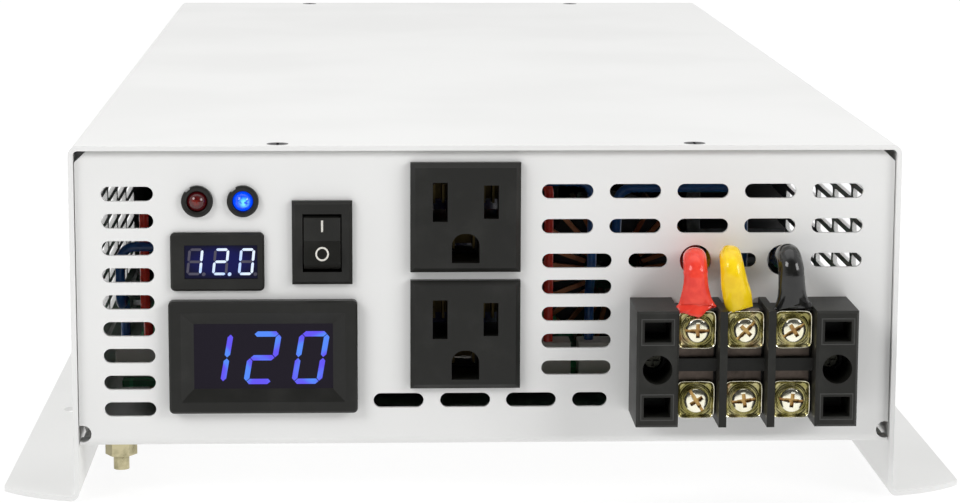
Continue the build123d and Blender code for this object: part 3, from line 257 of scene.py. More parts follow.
def clearPlastic(colour, roughness, glow=None, glowStrength=0.0, shine=0.5, coat=0.5):
    def build(flow):
        haze = flow.cloud(700, 2)
        values = dict(Base_Color=flow.mix(haze * 0.25, colour, tuple(min(1, c * 1.4) for c in colour)),
                      Roughness=roughness + (haze - 0.5) * 0.06, Coat_Weight=coat, Coat_Roughness=0.05,
                      Specular_IOR_Level=shine)
        if glow:
            values["Emission_Color"] = glow
            values["Emission_Strength"] = glowStrength
        return principled(flow, **values)
    return build


def lampLens(node, shift, edge, heart, strength):  # light gathers off the middle of the lens
    def build(flow):
        heartAt = middleOf(node)
        heartAt = Vector((heartAt.x + shift[0], lowOf(node).y + 0.5, heartAt.z + shift[1])) * mm
        where = flow.node("ShaderNodeVectorMath", {"operation": "SUBTRACT"}, {0: flow.place(), 1: heartAt})
        split = flow.node("ShaderNodeVectorMath", {"operation": "MULTIPLY"}, {0: where, 1: (1.0, 0.15, 1.0)})
        far = flow.node("ShaderNodeVectorMath", {"operation": "LENGTH"}, {0: split}, out="Value")
        facet = flow.cloud(1100, 1)
        share = (1.0 - far.fade(0.0003, 0.0017)) * facet.fade(0.3, 0.55)
        tone = flow.mix(share, edge, heart)
        return principled(
            flow, Base_Color=tone, Roughness=0.1 + facet * 0.04, Specular_IOR_Level=0.45, Coat_Weight=0.3,
            Coat_Roughness=0.04, Emission_Color=tone, Emission_Strength=strength)
    return build


def boardLook(flow):
    weave = flow.cloud(900, 2)
    tracks = flow.node("ShaderNodeTexBrick", {"offset": 0.3, "squash": 1.4}, {
        "Vector": flow.place(), "Scale": 60.0, "Color1": (0.01, 0.14, 0.05), "Color2": (0.015, 0.2, 0.07),
        "Mortar": (0.02, 0.28, 0.1), "Mortar Size": 0.03})
    return principled(flow, Base_Color=tracks, Roughness=0.38 + (weave - 0.5) * 0.1)


goldStops = (
    (0.28, (0.15, 0.13, 0.04)), (0.45, (0.33, 0.30, 0.11)), (0.58, (0.55, 0.50, 0.26)),
    (0.72, (0.34, 0.19, 0.11)))
paleGoldStops = ((0.3, (0.86, 0.82, 0.60)), (0.6, (0.96, 0.93, 0.78)))
redGoldStops = ((0.3, (0.30, 0.14, 0.05)), (0.6, (0.55, 0.36, 0.13)))
zincStops = ((0.3, (0.50, 0.51, 0.53)), (0.6, (0.72, 0.72, 0.73)))
brassStops = ((0.3, (0.30, 0.22, 0.08)), (0.6, (0.55, 0.42, 0.18)))
tinStops = ((0.3, (0.20, 0.165, 0.14)), (0.6, (0.34, 0.28, 0.24)))
copperStops = ((0.3, (0.16, 0.06, 0.03)), (0.6, (0.30, 0.13, 0.07)))
aluminiumStops = ((0.3, (0.60, 0.61, 0.63)), (0.6, (0.80, 0.80, 0.82)))
blackMetalStops = ((0.3, (0.02, 0.02, 0.02)), (0.6, (0.05, 0.05, 0.055)))

finishes = {
    "powder_white": powderCoat,
    "black_zinc_steel": platedMetal(blackMetalStops, 0.42, metallic=0.8),
    "zinc_steel": platedMetal(zincStops, 0.3),
    "yellow_zinc_steel": platedMetal(goldStops, 0.27),
    "black_plastic": mouldedPlastic((0.0105, 0.0105, 0.009), 0.38, 0.35, shine=0.28),
    "black_phenolic": mouldedPlastic((0.0115, 0.0115, 0.0095), 0.44, 0.5, shine=0.28),
    "red_plastic": mouldedPlastic((0.42, 0.012, 0.01), 0.34, 0.2),
    "white_nylon": mouldedPlastic((0.72, 0.70, 0.64), 0.45, 0.1),
    "brass": platedMetal(brassStops, 0.3),
    "tinned_copper": platedMetal(tinStops, 0.4),
    "copper": platedMetal(copperStops, 0.32),
    "smoked_glass": clearPlastic((0.0085, 0.006, 0.013), 0.16, shine=0.12, coat=0.0),
    "display": mouldedPlastic((0.05, 0.05, 0.08), 0.5, 0.1),
    # the red lamp is off: its faint glow and its brighter heart are painted light
    "lamp_red": lampLens("lamp_red", (-0.3, 0.2), (0.045, 0.002, 0.003), (0.14, 0.012, 0.008), 0.25),
    "lamp_blue": lampLens("lamp_blue", (0.4, -0.1), (0.0, 0.045, 0.72), (0.10, 0.48, 1.0), 0.95),
    "red_sleeve": sleeve((0.90, 0.075, 0.045), (0.76, 0.04, 0.026), 0.16, 0.00012, 0.22),
    "yellow_sleeve": sleeve((0.95, 0.68, 0.015), (0.84, 0.55, 0.008), 0.16, 0.00012, 0.22),
    "black_sleeve": sleeve((0.014, 0.014, 0.013), (0.007, 0.007, 0.007), 0.14, 0.0001, 0.4),
    "blue_sleeve": sleeve((0.015, 0.10, 0.32), (0.01, 0.07, 0.25), 0.3, 0.00003),
    "aluminium": platedMetal(aluminiumStops, 0.35, 300),
    "circuit_board": boardLook,
    "ferrite": mouldedPlastic((0.03, 0.03, 0.032), 0.6, 0.5, 1400, 0.00002),
    "transformer_tape": sleeve((0.36, 0.27, 0.04), (0.26, 0.18, 0.02), 0.3, 0.00003),
    "capacitor_sleeve": sleeve((0.015, 0.015, 0.05), (0.01, 0.01, 0.03), 0.25, 0.00001)}

finishes["paleGold"] = platedMetal(paleGoldStops, 0.2, 300, 0.1)
finishes["redGold"] = platedMetal(redGoldStops, 0.3, 300, 0.1)
finishes["zincGold"] = platedMetal(((0.35, (0.32, 0.29, 0.17)), (0.6, (0.60, 0.54, 0.34))), 0.3, 250)
finishes["barMetal"] = platedMetal(((0.3, (0.055, 0.045, 0.038)), (0.65, (0.12, 0.095, 0.08))), 0.42, 220)
# heatsinks: near-black metal in place of bare aluminium, a painted shade for the dark inside of the case seen
# through the vents
finishes["shadedSinkMetal"] = platedMetal(((0.3, (0.05, 0.05, 0.052)), (0.6, (0.09, 0.09, 0.095))), 0.45, 300)
finishes["blockMoulding"] = blockMoulding
finishes["wellScrew"] = platedMetal(((0.3, (0.05, 0.05, 0.04)), (0.7, (0.11, 0.11, 0.09))), 0.4, 200)
# outlet contacts: brass darkened almost to black, a painted shade for their place deep in the outlets
finishes["shadedBrass"] = platedMetal(((0.3, (0.02, 0.015, 0.008)), (0.7, (0.10, 0.075, 0.03))), 0.4)
materials = {slot: newMaterial(slot, build) for slot, build in finishes.items()}
nodeSlot = {part["node"]: part["material_slot"] for part in frame["record"]["subparts"]}
for name, node in nodes.items():
    node.data.materials.clear()
    node.data.materials.append(materials[nodeSlot[name]])
# painted shade: the heatsinks and outlet contacts get darkened finishes here
for name, other in {"block_screws": "wellScrew", "terminal_bars": "barMetal", "outlet_contacts": "shadedBrass",
                    "earth_stud": "zincGold", "earth_washer": "zincGold", "earth_nut": "zincGold",
                    "heatsinks": "shadedSinkMetal", "terminal_block": "blockMoulding"}.items():
    nodes[name].data.materials[0] = materials[other]
print("finishes:", len(materials))

# mesh makers
def addPiece(name, points, faces, slot, body, stands=(), smooth=True):
    mesh = bpy.data.meshes.new(name)
    mesh.from_pydata([Vector(p) * mm for p in points], [], faces)
    work = bmesh.new()
    work.from_mesh(mesh)
    bmesh.ops.recalc_face_normals(work, faces=work.faces)
    work.to_mesh(mesh)
    work.free()
    mesh.polygons.foreach_set("use_smooth", [smooth] * len(mesh.polygons))
    mesh.materials.append(materials[slot])
    made = bpy.data.objects.new(name, mesh)
    bpy.context.scene.collection.objects.link(made)
    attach(made, body)
    if stands:
        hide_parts(*stands)
    return made


def skin(rings, closeStart=True, closeEnd=True):
    points = [p for ring in rings for p in ring]
    count = len(rings[0])
    faces = []
    for row in range(len(rings) - 1):
        for k in range(count):
            a, b = row * count + k, row * count + (k + 1) % count
            faces.append((a, b, b + count, a + count))
    if closeStart:
        faces.append(tuple(range(count)))
    if closeEnd:
        faces.append(tuple(range((len(rings) - 1) * count, len(rings) * count)))
    return points, faces


def lathe(profile, centre, axis, steps=48, turn=0.0):
    along = Vector(axis)
    side = along.orthogonal().normalized()
    other = along.cross(side)
    rings = []
    for reach, radius in profile:
        ring = []
        for k in range(steps):
            angle = 2 * math.pi * k / steps + turn
            out = side * math.cos(angle) + other * math.sin(angle)
            ring.append(Vector(centre) + along * reach + out * radius)
        rings.append(ring)
    return skin(rings)


def threadRings(centre, axis, length, radius, pitch, depth, steps=40, rows=6):
    along = Vector(axis)
    side = along.orthogonal().normalized()
    other = along.cross(side)
    count = int(length / pitch * rows)
    rings = []
    for row in range(count + 1):
        reach = length * row / count
        taper = min(1.0, (length - reach) / pitch, reach / pitch)
        ring = []
        for k in range(steps):
            angle = 2 * math.pi * k / steps
            phase = (reach / pitch - k / steps) % 1.0
            dip = depth * (1 - abs(2 * phase - 1)) if taper > 0.999 else depth * (0.6 + 0.4 * (1 - taper))
            out = side * math.cos(angle) + other * math.sin(angle)
            ring.append(Vector(centre) + along * reach + out * (radius - dip))
        rings.append(ring)
    return skin(rings)


def blockOf(centre, size):
    cx, cy, cz = centre
    hx, hy, hz = (v / 2 for v in size)
    ends = (-1, 1)
    points = [(cx + sx * hx, cy + sy * hy, cz + sz * hz) for sx in ends for sy in ends for sz in ends]
    faces = [(0, 1, 3, 2), (4, 6, 7, 5), (0, 4, 5, 1), (2, 3, 7, 6), (0, 2, 6, 4), (1, 5, 7, 3)]
    return points, faces


def joined(*parts):
    points, faces = [], []
    for somePoints, someFaces in parts:
        start = len(points)
        points += list(somePoints)
        faces += [tuple(i + start for i in face) for face in someFaces]
    return points, faces


def soften(thing, width, steps=2, angle=35.0):
    weld = thing.modifiers.new("weld", "WELD")
    weld.merge_threshold = 0.004 * mm
    edge = thing.modifiers.new("softEdge", "BEVEL")
    edge.width = width * mm
    edge.segments = steps
    edge.limit_method = "ANGLE"
    edge.angle_limit = math.radians(angle)
    edge.use_clamp_overlap = True
    edge.harden_normals = False
    even = thing.modifiers.new("even", "WEIGHTED_NORMAL")
    even.keep_sharp = True


# clamp plates of the terminal block: dished, with a rolled bright lip
plateLook = {
    "half": (4.7, 4.75), "corner": 3.6, "dish": 0.95, "wave": 0.14, "ring": 3.75, "ringRise": 0.22}


def clampPlate(name, centre, backY, body, node):
    look = plateLook
    steps, rows = 96, 26
    cx, cz = centre
    seatY = backY - 1.0

    def edge(angle):
        c, s = math.cos(angle), math.sin(angle)
        power = look["corner"] * 2
        reach = (abs(c / look["half"][0]) ** power + abs(s / look["half"][1]) ** power) ** (-1 / power)
        pull = noise.noise(Vector((cx * 0.3 + 3 * c, cz * 0.7, 3 * s)))
        return reach - look["wave"] * (0.5 + 0.5 * pull)

    rings = []
    for row in range(rows + 1):
        share = row / rows
        ring = []
        for k in range(steps):
            angle = 2 * math.pi * k / steps
            far = edge(angle)
            radius = 2.1 + (far - 2.1) * share
            fromEdge = far - radius
            bend = max(0.0, 1 - fromEdge / look["dish"])
            rise = 0.62 * bend * bend * (3 - 2 * bend)
            lump = math.exp(-((radius - look["ring"]) / 0.16) ** 2) * look["ringRise"]
            across, up = radius * math.cos(angle), radius * math.sin(angle)
            sag = 0.05 * noise.noise(Vector((cx + across * 0.5, cz, up * 0.5)))
            hollow = -0.16 * math.exp(-((radius - 4.15) / 0.35) ** 2) * (1 - bend)
            ring.append(Vector((cx + across, seatY - rise - lump - sag - hollow, cz + up)))
        rings.append(ring)
    front = rings[-1]
    for inset, drop in ((0.05, 0.10), (0.02, 0.25), (0.12, 0.42)):
        rings.append([p + Vector(((cx - p.x) * inset * 0.2, drop, (cz - p.z) * inset * 0.2)) for p in front])
    for row in range(8, -1, -1):
        share = row / 8
        ring = []
        for k, p in enumerate(front):
            radius = 2.1 + (math.hypot(p.x - cx, p.z - cz) - 0.35 - 2.1) * share
            angle = 2 * math.pi * k / steps
            ring.append(Vector((cx + radius * math.cos(angle), backY - (0.3 if share > 0.9 else 0.02),
                                cz + radius * math.sin(angle))))
        rings.append(ring)
    rings.append(rings[0])
    points, faces = skin(rings, False, False)
    made = addPiece(name, points, faces, "yellow_zinc_steel", body, (node,))
    made.data.materials.append(materials["paleGold"])
    for face in made.data.polygons:
        if face.center.y < (seatY - 0.52) * mm:
            face.material_index = 1
    return made


# clamp screws: pan head with a slot and a cross, threaded shank
screwLook = {
    "headR": 3.08, "headH": 2.15, "slotW": 0.75, "slotDeep": 0.95, "crossW": 0.95, "crossLong": 1.75,
    "crossDeep": 1.35, "pitch": 0.7, "threadDeep": 0.38,
    "shank": 10.0, "shankR": 2.0}


def carved(name, body, cutters):
    base = addPiece(name, *body, "yellow_zinc_steel", "case")
    tools = []
    for k, cutter in enumerate(cutters):
        tool = addPiece(name + "Cut" + str(k), *cutter, "yellow_zinc_steel", "case")
        way = base.modifiers.new("cut", "BOOLEAN")
        way.operation = "DIFFERENCE"
        way.solver = "EXACT"
        way.object = tool
        tools.append(tool)
    bpy.context.view_layer.update()
    shaped = base.evaluated_get(bpy.context.evaluated_depsgraph_get())
    mesh = bpy.data.meshes.new_from_object(shaped)
    result = [tuple(v.co / mm) for v in mesh.vertices], [tuple(f.vertices) for f in mesh.polygons]
    for thing in (base, *tools):
        bpy.data.objects.remove(thing)
    return result


def turnedBox(centre, size, angle):
    points, faces = blockOf((0, 0, 0), size)
    turn = Matrix.Rotation(angle, 3, "Y")
    return [turn @ Vector(p) + Vector(centre) for p in points], faces


def clampScrew(name, centre, seatY, degrees, body, node):
    look = screwLook
    cx, cz = centre
    r, h = look["headR"], look["headH"]
    place = (cx, seatY, cz)
    profile = [
        (0.0, 0.01), (0.0, r - 0.2), (0.12, r - 0.03), (0.4, r), (1.3, r), (1.62, r - 0.08),
        (1.85, r - 0.28), (2.0, r - 0.7), (h - 0.04, r - 1.4), (h, r - 2.4), (h, 0.01)]
    head = lathe(profile, place, (0, -1, 0), 64)
    deep = seatY - h
    angle = -math.radians(degrees)
    slotAt = (cx, deep + look["slotDeep"] / 2 - 0.5, cz)
    crossAt = (cx, deep + look["crossDeep"] / 2 - 0.5, cz)
    slotCut = turnedBox(slotAt, (2 * r + 2, look["slotDeep"] + 1, look["slotW"]), angle)
    crossA = turnedBox(crossAt, (2 * look["crossLong"], look["crossDeep"] + 1, look["crossW"]), angle)
    crossB = turnedBox(crossAt, (look["crossW"], look["crossDeep"] + 1, 2 * look["crossLong"]), angle)
    cut = carved(name + "Head", head, [slotCut, crossA, crossB])
    rod = threadRings(
        place, (0, 1, 0), look["shank"], look["shankR"], look["pitch"], look["threadDeep"], 32, 6)
    made = addPiece(name, *joined(cut, rod), "yellow_zinc_steel", body, (node,))
    made.data.materials[0] = materials["paleGold"]
    made.data.materials.append(materials["redGold"])
    top = (seatY - h + 0.12) * mm
    turnBack = Matrix.Rotation(-angle, 3, "Y")
    for face in made.data.polygons:
        u, v = (turnBack @ (face.center / mm - Vector(place))).xz
        near, far = sorted((abs(u), abs(v)))
        slotted = abs(v) < look["slotW"] / 2 + 0.02
        crossed = near < look["crossW"] / 2 + 0.02 and far < look["crossLong"] + 0.02
        if top < face.center.y < (seatY - 0.3) * mm and (slotted or crossed) and math.hypot(u, v) < r + 0.05:
            face.material_index = 1
    soften(made, 0.07, 2, 32)
    return made


slotAngles = {"upper": (0, 45, 32), "lower": (-58, 8, -6)}  # degrees, left to right
plateDeep = 1.0  # from a plate's back to its screw's seat
for k, side in enumerate(sideNames):
    clamp, screw = "clamp_" + side, "screw_" + side
    clampPlate("upperPlate." + side, (poleX[k], upperZ), topSeat, "case", "upper_clamps")
    clampScrew("upperScrew." + side, (poleX[k], upperZ), topSeat - plateDeep, slotAngles["upper"][k],
               "case", "upper_screws")
    clampPlate("lowerPlate." + side, (poleX[k], lowerZ), lowSeat, clamp, clamp)
    clampScrew("lowerScrew." + side, (poleX[k], lowerZ), lowSeat - plateDeep, slotAngles["lower"][k],
               screw, screw)
print("clamps and screws made")

# leads: an insulated core from the board, then a shrink sleeve ending in a flared boot
# each row: x, y, z, half width, half depth
leadLook = {
    "lead_red": {
        "rows": [
            (52.35, -182.5, 24.0, 1.6, 1.6), (52.35, -182.5, 40, 1.6, 1.6), (52.35, -182.5, 54.2, 1.6, 1.6),
            (52.35, -184.6, 59.0, 1.6, 1.6), (52.35, -189.5, 60.75, 1.6, 1.6), (52.35, -200, 60.75, 1.6, 1.6),
            (52.35, -211.9, 60.75, 1.62, 1.62), (52.35, -212.0, 60.75, 2.7, 2.7),
            (52.35, -212.6, 60.75, 2.95, 2.95), (52.3, -217.5, 60.85, 2.95, 2.95),
            (51.7, -223.0, 61.9, 2.95, 2.95), (51.15, -227.5, 62.4, 2.98, 3.0),
            (50.95, -230.3, 61.0, 3.0, 2.9), (50.95, -231.2, 59.0, 3.0, 2.7), (51.0, -231.3, 57.0, 3.1, 2.5),
            (51.05, -231.4, 55.0, 3.5, 2.2), (51.1, -231.6, 53.2, 4.05, 1.8),
            (51.15, -231.9, 51.9, 4.65, 1.3), (51.15, -232.3, 51.35, 4.95, 0.85),
            (51.3, -232.7, 50.85, 3.9, 0.55), (51.45, -233.05, 50.2, 2.4, 0.42),
            (51.6, -233.25, 49.6, 1.3, 0.32), (51.65, -233.3, 49.1, 0.3, 0.2)],
        "slot": "red_sleeve", "crease": 0.10, "ringAt": 59.9, "seed": 3.0},
    "lead_yellow": {
        "rows": [
            (60.9, -182.5, 24.0, 1.6, 1.6), (60.9, -182.5, 40, 1.6, 1.6), (60.9, -182.5, 54.2, 1.6, 1.6),
            (60.9, -184.6, 59.0, 1.6, 1.6), (60.9, -189.5, 60.75, 1.6, 1.6), (60.9, -205, 60.75, 1.6, 1.6),
            (60.9, -219.6, 60.8, 1.62, 1.62), (60.85, -219.9, 60.8, 2.3, 2.2), (60.6, -221.5, 61.3, 2.6, 2.5),
            (60.1, -225.5, 63.0, 2.75, 2.7), (59.8, -229.0, 63.3, 2.75, 2.9),
            (59.85, -231.4, 61.6, 3.05, 2.9),
            (60.0, -232.2, 59.4, 3.25, 2.7), (60.4, -232.0, 57.0, 3.45, 2.6), (60.95, -231.7, 55.0, 3.6, 2.4),
            (61.4, -231.5, 53.2, 3.55, 2.1), (61.9, -231.5, 51.8, 3.35, 1.7), (62.3, -231.6, 50.9, 3.1, 1.2),
            (62.4, -231.7, 50.6, 2.9, 0.8)],
        "slot": "yellow_sleeve", "crease": 0.22, "ringAt": None, "seed": 9.0},
    "lead_black": {
        "rows": [
            (74.3, -182.5, 24.0, 1.6, 1.6), (74.3, -182.5, 40, 1.6, 1.6), (74.3, -182.5, 54.2, 1.6, 1.6),
            (74.3, -184.6, 59.0, 1.6, 1.6), (74.3, -189.5, 60.75, 1.6, 1.6), (74.3, -200, 60.75, 1.6, 1.6),
            (74.3, -211.9, 60.75, 1.62, 1.62), (74.4, -212.0, 60.75, 2.7, 2.7),
            (74.6, -212.6, 60.75, 2.9, 2.9), (74.7, -217.5, 61.0, 2.95, 2.95),
            (74.35, -223.5, 62.6, 3.0, 3.0), (74.3, -228.0, 63.2, 3.05, 3.05),
            (74.4, -230.8, 61.6, 3.1, 2.95), (74.6, -231.7, 59.3, 3.15, 2.75),
            (74.7, -231.7, 57.0, 3.25, 2.6), (74.75, -231.6, 55.0, 3.45, 2.35),
            (74.85, -231.5, 53.2, 3.85, 2.0), (74.95, -231.5, 51.9, 4.4, 1.55),
            (75.1, -231.6, 51.1, 4.95, 1.1), (75.1, -231.7, 50.8, 4.8, 0.8)],
        "slot": "black_sleeve", "crease": 0.16, "ringAt": None, "seed": 17.0}}


def smoothRows(rows, per=7):  # smooth rows between the given ones
    made = []
    for k in range(len(rows) - 1):
        before = rows[max(k - 1, 0)]
        a, b = rows[k], rows[k + 1]
        after = rows[min(k + 2, len(rows) - 1)]
        span = [math.dist(p[:3], q[:3]) or 0.01 for p, q in ((before, a), (a, b), (b, after))]
        for step in range(per):
            t = step / per
            row = []
            for p, q, r, s in zip(before, a, b, after):
                leave = (r - p) / (span[0] + span[1]) * span[1] if k else r - q
                reach = (s - q) / (span[1] + span[2]) * span[1] if k < len(rows) - 2 else r - q
                h = ((2 * t ** 3 - 3 * t ** 2 + 1) * q + (t ** 3 - 2 * t ** 2 + t) * leave
                     + (3 * t ** 2 - 2 * t ** 3) * r + (t ** 3 - t ** 2) * reach)
                row.append(h)
            made.append(row)
    made.append(list(rows[-1]))
    return made


def leadPiece(node):
    look = leadLook[node]
    rows = smoothRows(look["rows"])
    steps = 40
    rings = []
    for k, row in enumerate(rows):
        here = Vector(row[:3])
        ahead = Vector(rows[min(k + 1, len(rows) - 1)][:3]) - Vector(rows[max(k - 1, 0)][:3])
        ahead.normalize()
        side = (Vector((1, 0, 0)) - ahead * ahead.x).normalized()
        out = ahead.cross(side)
        outside = here.y < -221
        ring = []
        for step in range(steps):
            angle = 2 * math.pi * step / steps
            c, s = math.cos(angle), math.sin(angle)
            swell = 0.0
            if outside:
                spot = Vector((c * 1.1 + look["seed"], s * 1.1, here.z * 0.16))
                fold = noise.noise(spot * 1.1)
                ridge = 1 - abs(noise.noise(spot * 2.1)) * 2
                flare = min(1.0, max(0.15, (58 - here.z) / 6))
                calm = min(1.0, max(0.0, (here.z - 51.2) / 3.0) + 0.15)
                swell = look["crease"] * (fold * 1.6 + ridge * 0.5 * flare) * calm
                if look["ringAt"]:
                    swell += 0.13 * math.exp(-((here.z - look["ringAt"]) / 0.22) ** 2)
            ring.append(here + side * (row[3] + swell) * c + out * (row[4] + swell * 0.9) * s)
        rings.append(ring)
    addPiece(node + ".sleeve", *skin(rings), look["slot"], "case", (node,))


# crimp lugs: a flat tongue under each upper plate and a short barrel up in the boot
lugLook = {
    "tongue": (7.2, 0.78, 9.0), "tongueUp": 0.5, "barrel": (1.5, 0.7), "mouth": (2.6, 0.38), "steps": 20}


def flatRing(centre, halves):  # an ellipse lying level
    turns = [2 * math.pi * k / lugLook["steps"] for k in range(lugLook["steps"])]
    x, y, z = centre
    return [Vector((x + halves[0] * math.cos(turn), y + halves[1] * math.sin(turn), z)) for turn in turns]


def crimpLugs():
    look = lugLook
    tongueY = lowSeat - 0.4
    parts = []
    for x, lead in zip(poleX, leadLook.values()):
        foot = [row for row in smoothRows(lead["rows"]) if row[2] < 56 and row[1] < -229][-26:]
        rings = [flatRing((row[0], row[1] + 0.4, row[2]), look["barrel"]) for row in foot if row[2] > 51.6]
        rings.append(flatRing((x, tongueY, upperZ + 4.8), look["mouth"]))
        parts.append(blockOf((x, tongueY, upperZ + look["tongueUp"]), look["tongue"]))
        parts.append(skin(rings))
    addPiece("crimpLugs", *joined(*parts), "tinned_copper", "case", ("lead_lugs",))


crimpLugs()
for node in leadLook:
    leadPiece(node)
print("leads made")

# lamp bezels: a snap-in ring with a small key notch at its upper left
bezelLook = {
    "flange": 3.95, "body": 3.1, "bore": 2.52, "notch": 0.45, "notchFrom": 118.0, "notchTo": 141.0}


def lampBezels():
    look = bezelLook
    front, back = lowOf("lamp_rings").y, highOf("lamp_rings").y
    flange, bore = look["flange"], look["bore"]
    profile = [
        (back, look["body"]), (panelY, look["body"]), (panelY, flange), (front + 0.35, flange),
        (front + 0.08, flange - 0.1), (front, flange - 0.3), (front, bore + 0.33),
        (front + 0.15, bore + 0.08), (front + 0.9, bore), (back, bore), (back, look["body"])]
    parts = []
    steps = 96
    for lamp in lampNodes:
        centre = middleOf(lamp)
        rings = []
        for y, radius in profile:
            ring = []
            for k in range(steps):
                angle = 360 * k / steps
                notched = look["notchFrom"] < angle < look["notchTo"] and radius > look["body"] + 0.4
                far = flange - look["notch"] if notched else radius
                turn = math.radians(angle)
                ring.append((centre.x + far * math.cos(turn), y, centre.z + far * math.sin(turn)))
            rings.append(ring)
        parts.append(skin(rings, False, False))
    made = addPiece("lampBezels", *joined(*parts), nodeSlot["lamp_rings"], "case", ("lamp_rings",))
    soften(made, 0.12)


lampBezels()

# threaded posts at the rear, with a coarse rolled thread and a hexagon head inside
postLook = {"radius": 4.0, "pitch": 1.25, "threadDeep": 0.55, "headR": 6.9, "headLong": 5.3}


def hexagon(x, z, radius, y):
    corners = [k * math.pi / 3 for k in range(6)]
    return [(x + radius * math.cos(turn), y, z + radius * math.sin(turn)) for turn in corners]


def threadedPosts():
    look = postLook
    low, high = lowOf("battery_posts"), highOf("battery_posts")
    z = (low.z + high.z) / 2
    head = low.y + look["headLong"]
    parts = []
    for x in (high.x - look["headR"], low.x + look["headR"]):
        parts.append(skin([
            hexagon(x, z, look["headR"] - 0.5, low.y), hexagon(x, z, look["headR"], low.y + 0.6),
            hexagon(x, z, look["headR"], head)]))
        parts.append(threadRings((x, head, z), (0, 1, 0), high.y - head, look["radius"], look["pitch"],
                                 look["threadDeep"], 40, 8))
    made = addPiece("postsThreaded", *joined(*parts), nodeSlot["battery_posts"], "case", ("battery_posts",))
    soften(made, 0.08)


threadedPosts()
print("bezels and posts made")

# marks on the rocker, laid on its face
markLook = {
    "lineWide": 0.5, "lineHigh": 2.9, "lineDown": 2.74, "ringR": 1.68, "ringWide": 0.42, "ringUp": 4.44,
    "above": 0.02, "thick": 0.03}


def surfaceOf(node):
    return bvhtree.BVHTree.FromObject(nodes[node], bpy.context.evaluated_depsgraph_get())


def faceY(tree, x, z):
    hit = tree.ray_cast(Vector((x, -300, z)) * mm, Vector((0, 1, 0)))
    return hit[0].y / mm


def rockerMarks():
    tree = surfaceOf("rocker")
    look = markLook
    cx = middleOf("rocker").x
    lineZ = highOf("rocker").z - look["lineDown"]
    ringZ = lowOf("rocker").z + look["ringUp"]
    points, faces = [], []
    rows = 8
    for row in range(rows + 1):
        z = lineZ + look["lineHigh"] * (row / rows - 0.5)
        for x in (cx - look["lineWide"] / 2, cx + look["lineWide"] / 2):
            points.append(Vector((x, faceY(tree, x, z) - look["above"], z)))
    for row in range(rows):
        a = row * 2
        faces.append((a, a + 1, a + 3, a + 2))
    start = len(points)
    steps = 40
    for k in range(steps):
        angle = 2 * math.pi * k / steps
        for radius in (look["ringR"] - look["ringWide"], look["ringR"]):
            x, z = cx + radius * math.cos(angle), ringZ + radius * math.sin(angle)
            points.append(Vector((x, faceY(tree, x, z) - look["above"], z)))
    for k in range(steps):
        a, b = start + 2 * k, start + 2 * ((k + 1) % steps)
        faces.append((a, a + 1, b + 1, b))
    made = addPiece("rockerMarks", points, faces, "white_nylon", "rocker")
    skinOn = made.modifiers.new("thick", "SOLIDIFY")
    skinOn.thickness = look["thick"] * mm
    skinOn.offset = 0


rockerMarks()

# meter digits: seven bars each, the small meter's unlit ones faintly seen through a painted glow
digitLook = {
    "dc": {
        "off": (0.85, 0.05), "high": 7.0, "wide": 4.0, "step": 6.4, "bar": 0.88, "slant": 6.0,
        "shows": "12.0"},
    "ac": {
        "off": (-0.25, -0.4), "high": 13.7, "wide": 7.8, "step": 12.0, "bar": 1.6, "slant": 10.0,
        "shows": "120"}}
litBars = {"0": "abcdef", "1": "bc", "2": "abdeg"}


def barShape(which, wide, high, bar, gap=0.12):
    h, w, t = high / 2, wide / 2, bar / 2
    tip = t - gap
    ends = {
        "a": ((-w + t, h - t), (w - t, h - t)), "d": ((-w + t, -h + t), (w - t, -h + t)),
        "g": ((-w + t, 0), (w - t, 0)), "b": ((w - t, h - t), (w - t, 0)), "c": ((w - t, 0), (w - t, -h + t)),
        "f": ((-w + t, h - t), (-w + t, 0)), "e": ((-w + t, 0), (-w + t, -h + t))}[which]
    (x0, z0), (x1, z1) = ends
    if z0 == z1:
        return [(x0 + gap, z0), (x0 + gap + tip, z0 + tip), (x1 - gap - tip, z1 + tip), (x1 - gap, z1),
                (x1 - gap - tip, z1 - tip), (x0 + gap + tip, z0 - tip)]
    return [(x0, z0 - gap), (x0 + tip, z0 - gap - tip), (x1 + tip, z1 + gap + tip), (x1, z1 + gap),
            (x1 - tip, z1 + gap + tip), (x0 - tip, z0 - gap - tip)]


def addDigits(name):
    look = digitLook[name]
    lean = math.tan(math.radians(look["slant"]))
    figures = [c for c in look["shows"] if c != "."]
    groups = {"lit": ([], []), "unlit": ([], [])}
    case = middleOf(name + "_meter_case")
    front = screenY - 0.03
    start = case.x + look["off"][0] - look["step"] * (len(figures) - 1) / 2

    def lay(kind, outline, cx):
        points, faces = groups[kind]
        first = len(points)
        for depth in (0.0, 0.04):
            for x, z in outline:
                points.append((cx + x + z * lean, front + depth, case.z + look["off"][1] + z))
        n = len(outline)
        faces.append(tuple(first + k for k in range(n)))
        faces.append(tuple(first + n + k for k in reversed(range(n))))
        for k in range(n):
            faces.append((first + k, first + n + k, first + n + (k + 1) % n, first + (k + 1) % n))

    for k, figure in enumerate(figures):
        cx = start + k * look["step"]
        for which in "abcdefg":
            lay("lit" if which in litBars[figure] else "unlit",
                barShape(which, look["wide"], look["high"], look["bar"]), cx)
        dotX = look["wide"] / 2 + look["bar"] * 0.55
        dotZ = -look["high"] / 2 + look["bar"] * 0.4
        r = look["bar"] * 0.52
        turns = [a * math.pi / 8 for a in range(16)]
        dot = [(dotX + r * math.cos(turn), dotZ + r * math.sin(turn)) for turn in turns]
        dotLit = look["shows"].find(".") == k + 1
        lay("lit" if dotLit else "unlit", dot, cx)
    for kind, (points, faces) in groups.items():
        glow = glowLooks.get(name + kind.capitalize())
        if glow:
            made = addPiece(name + "Digits" + kind.capitalize(), points, faces, "display", "case", (), False)
            made.data.materials[0] = glow


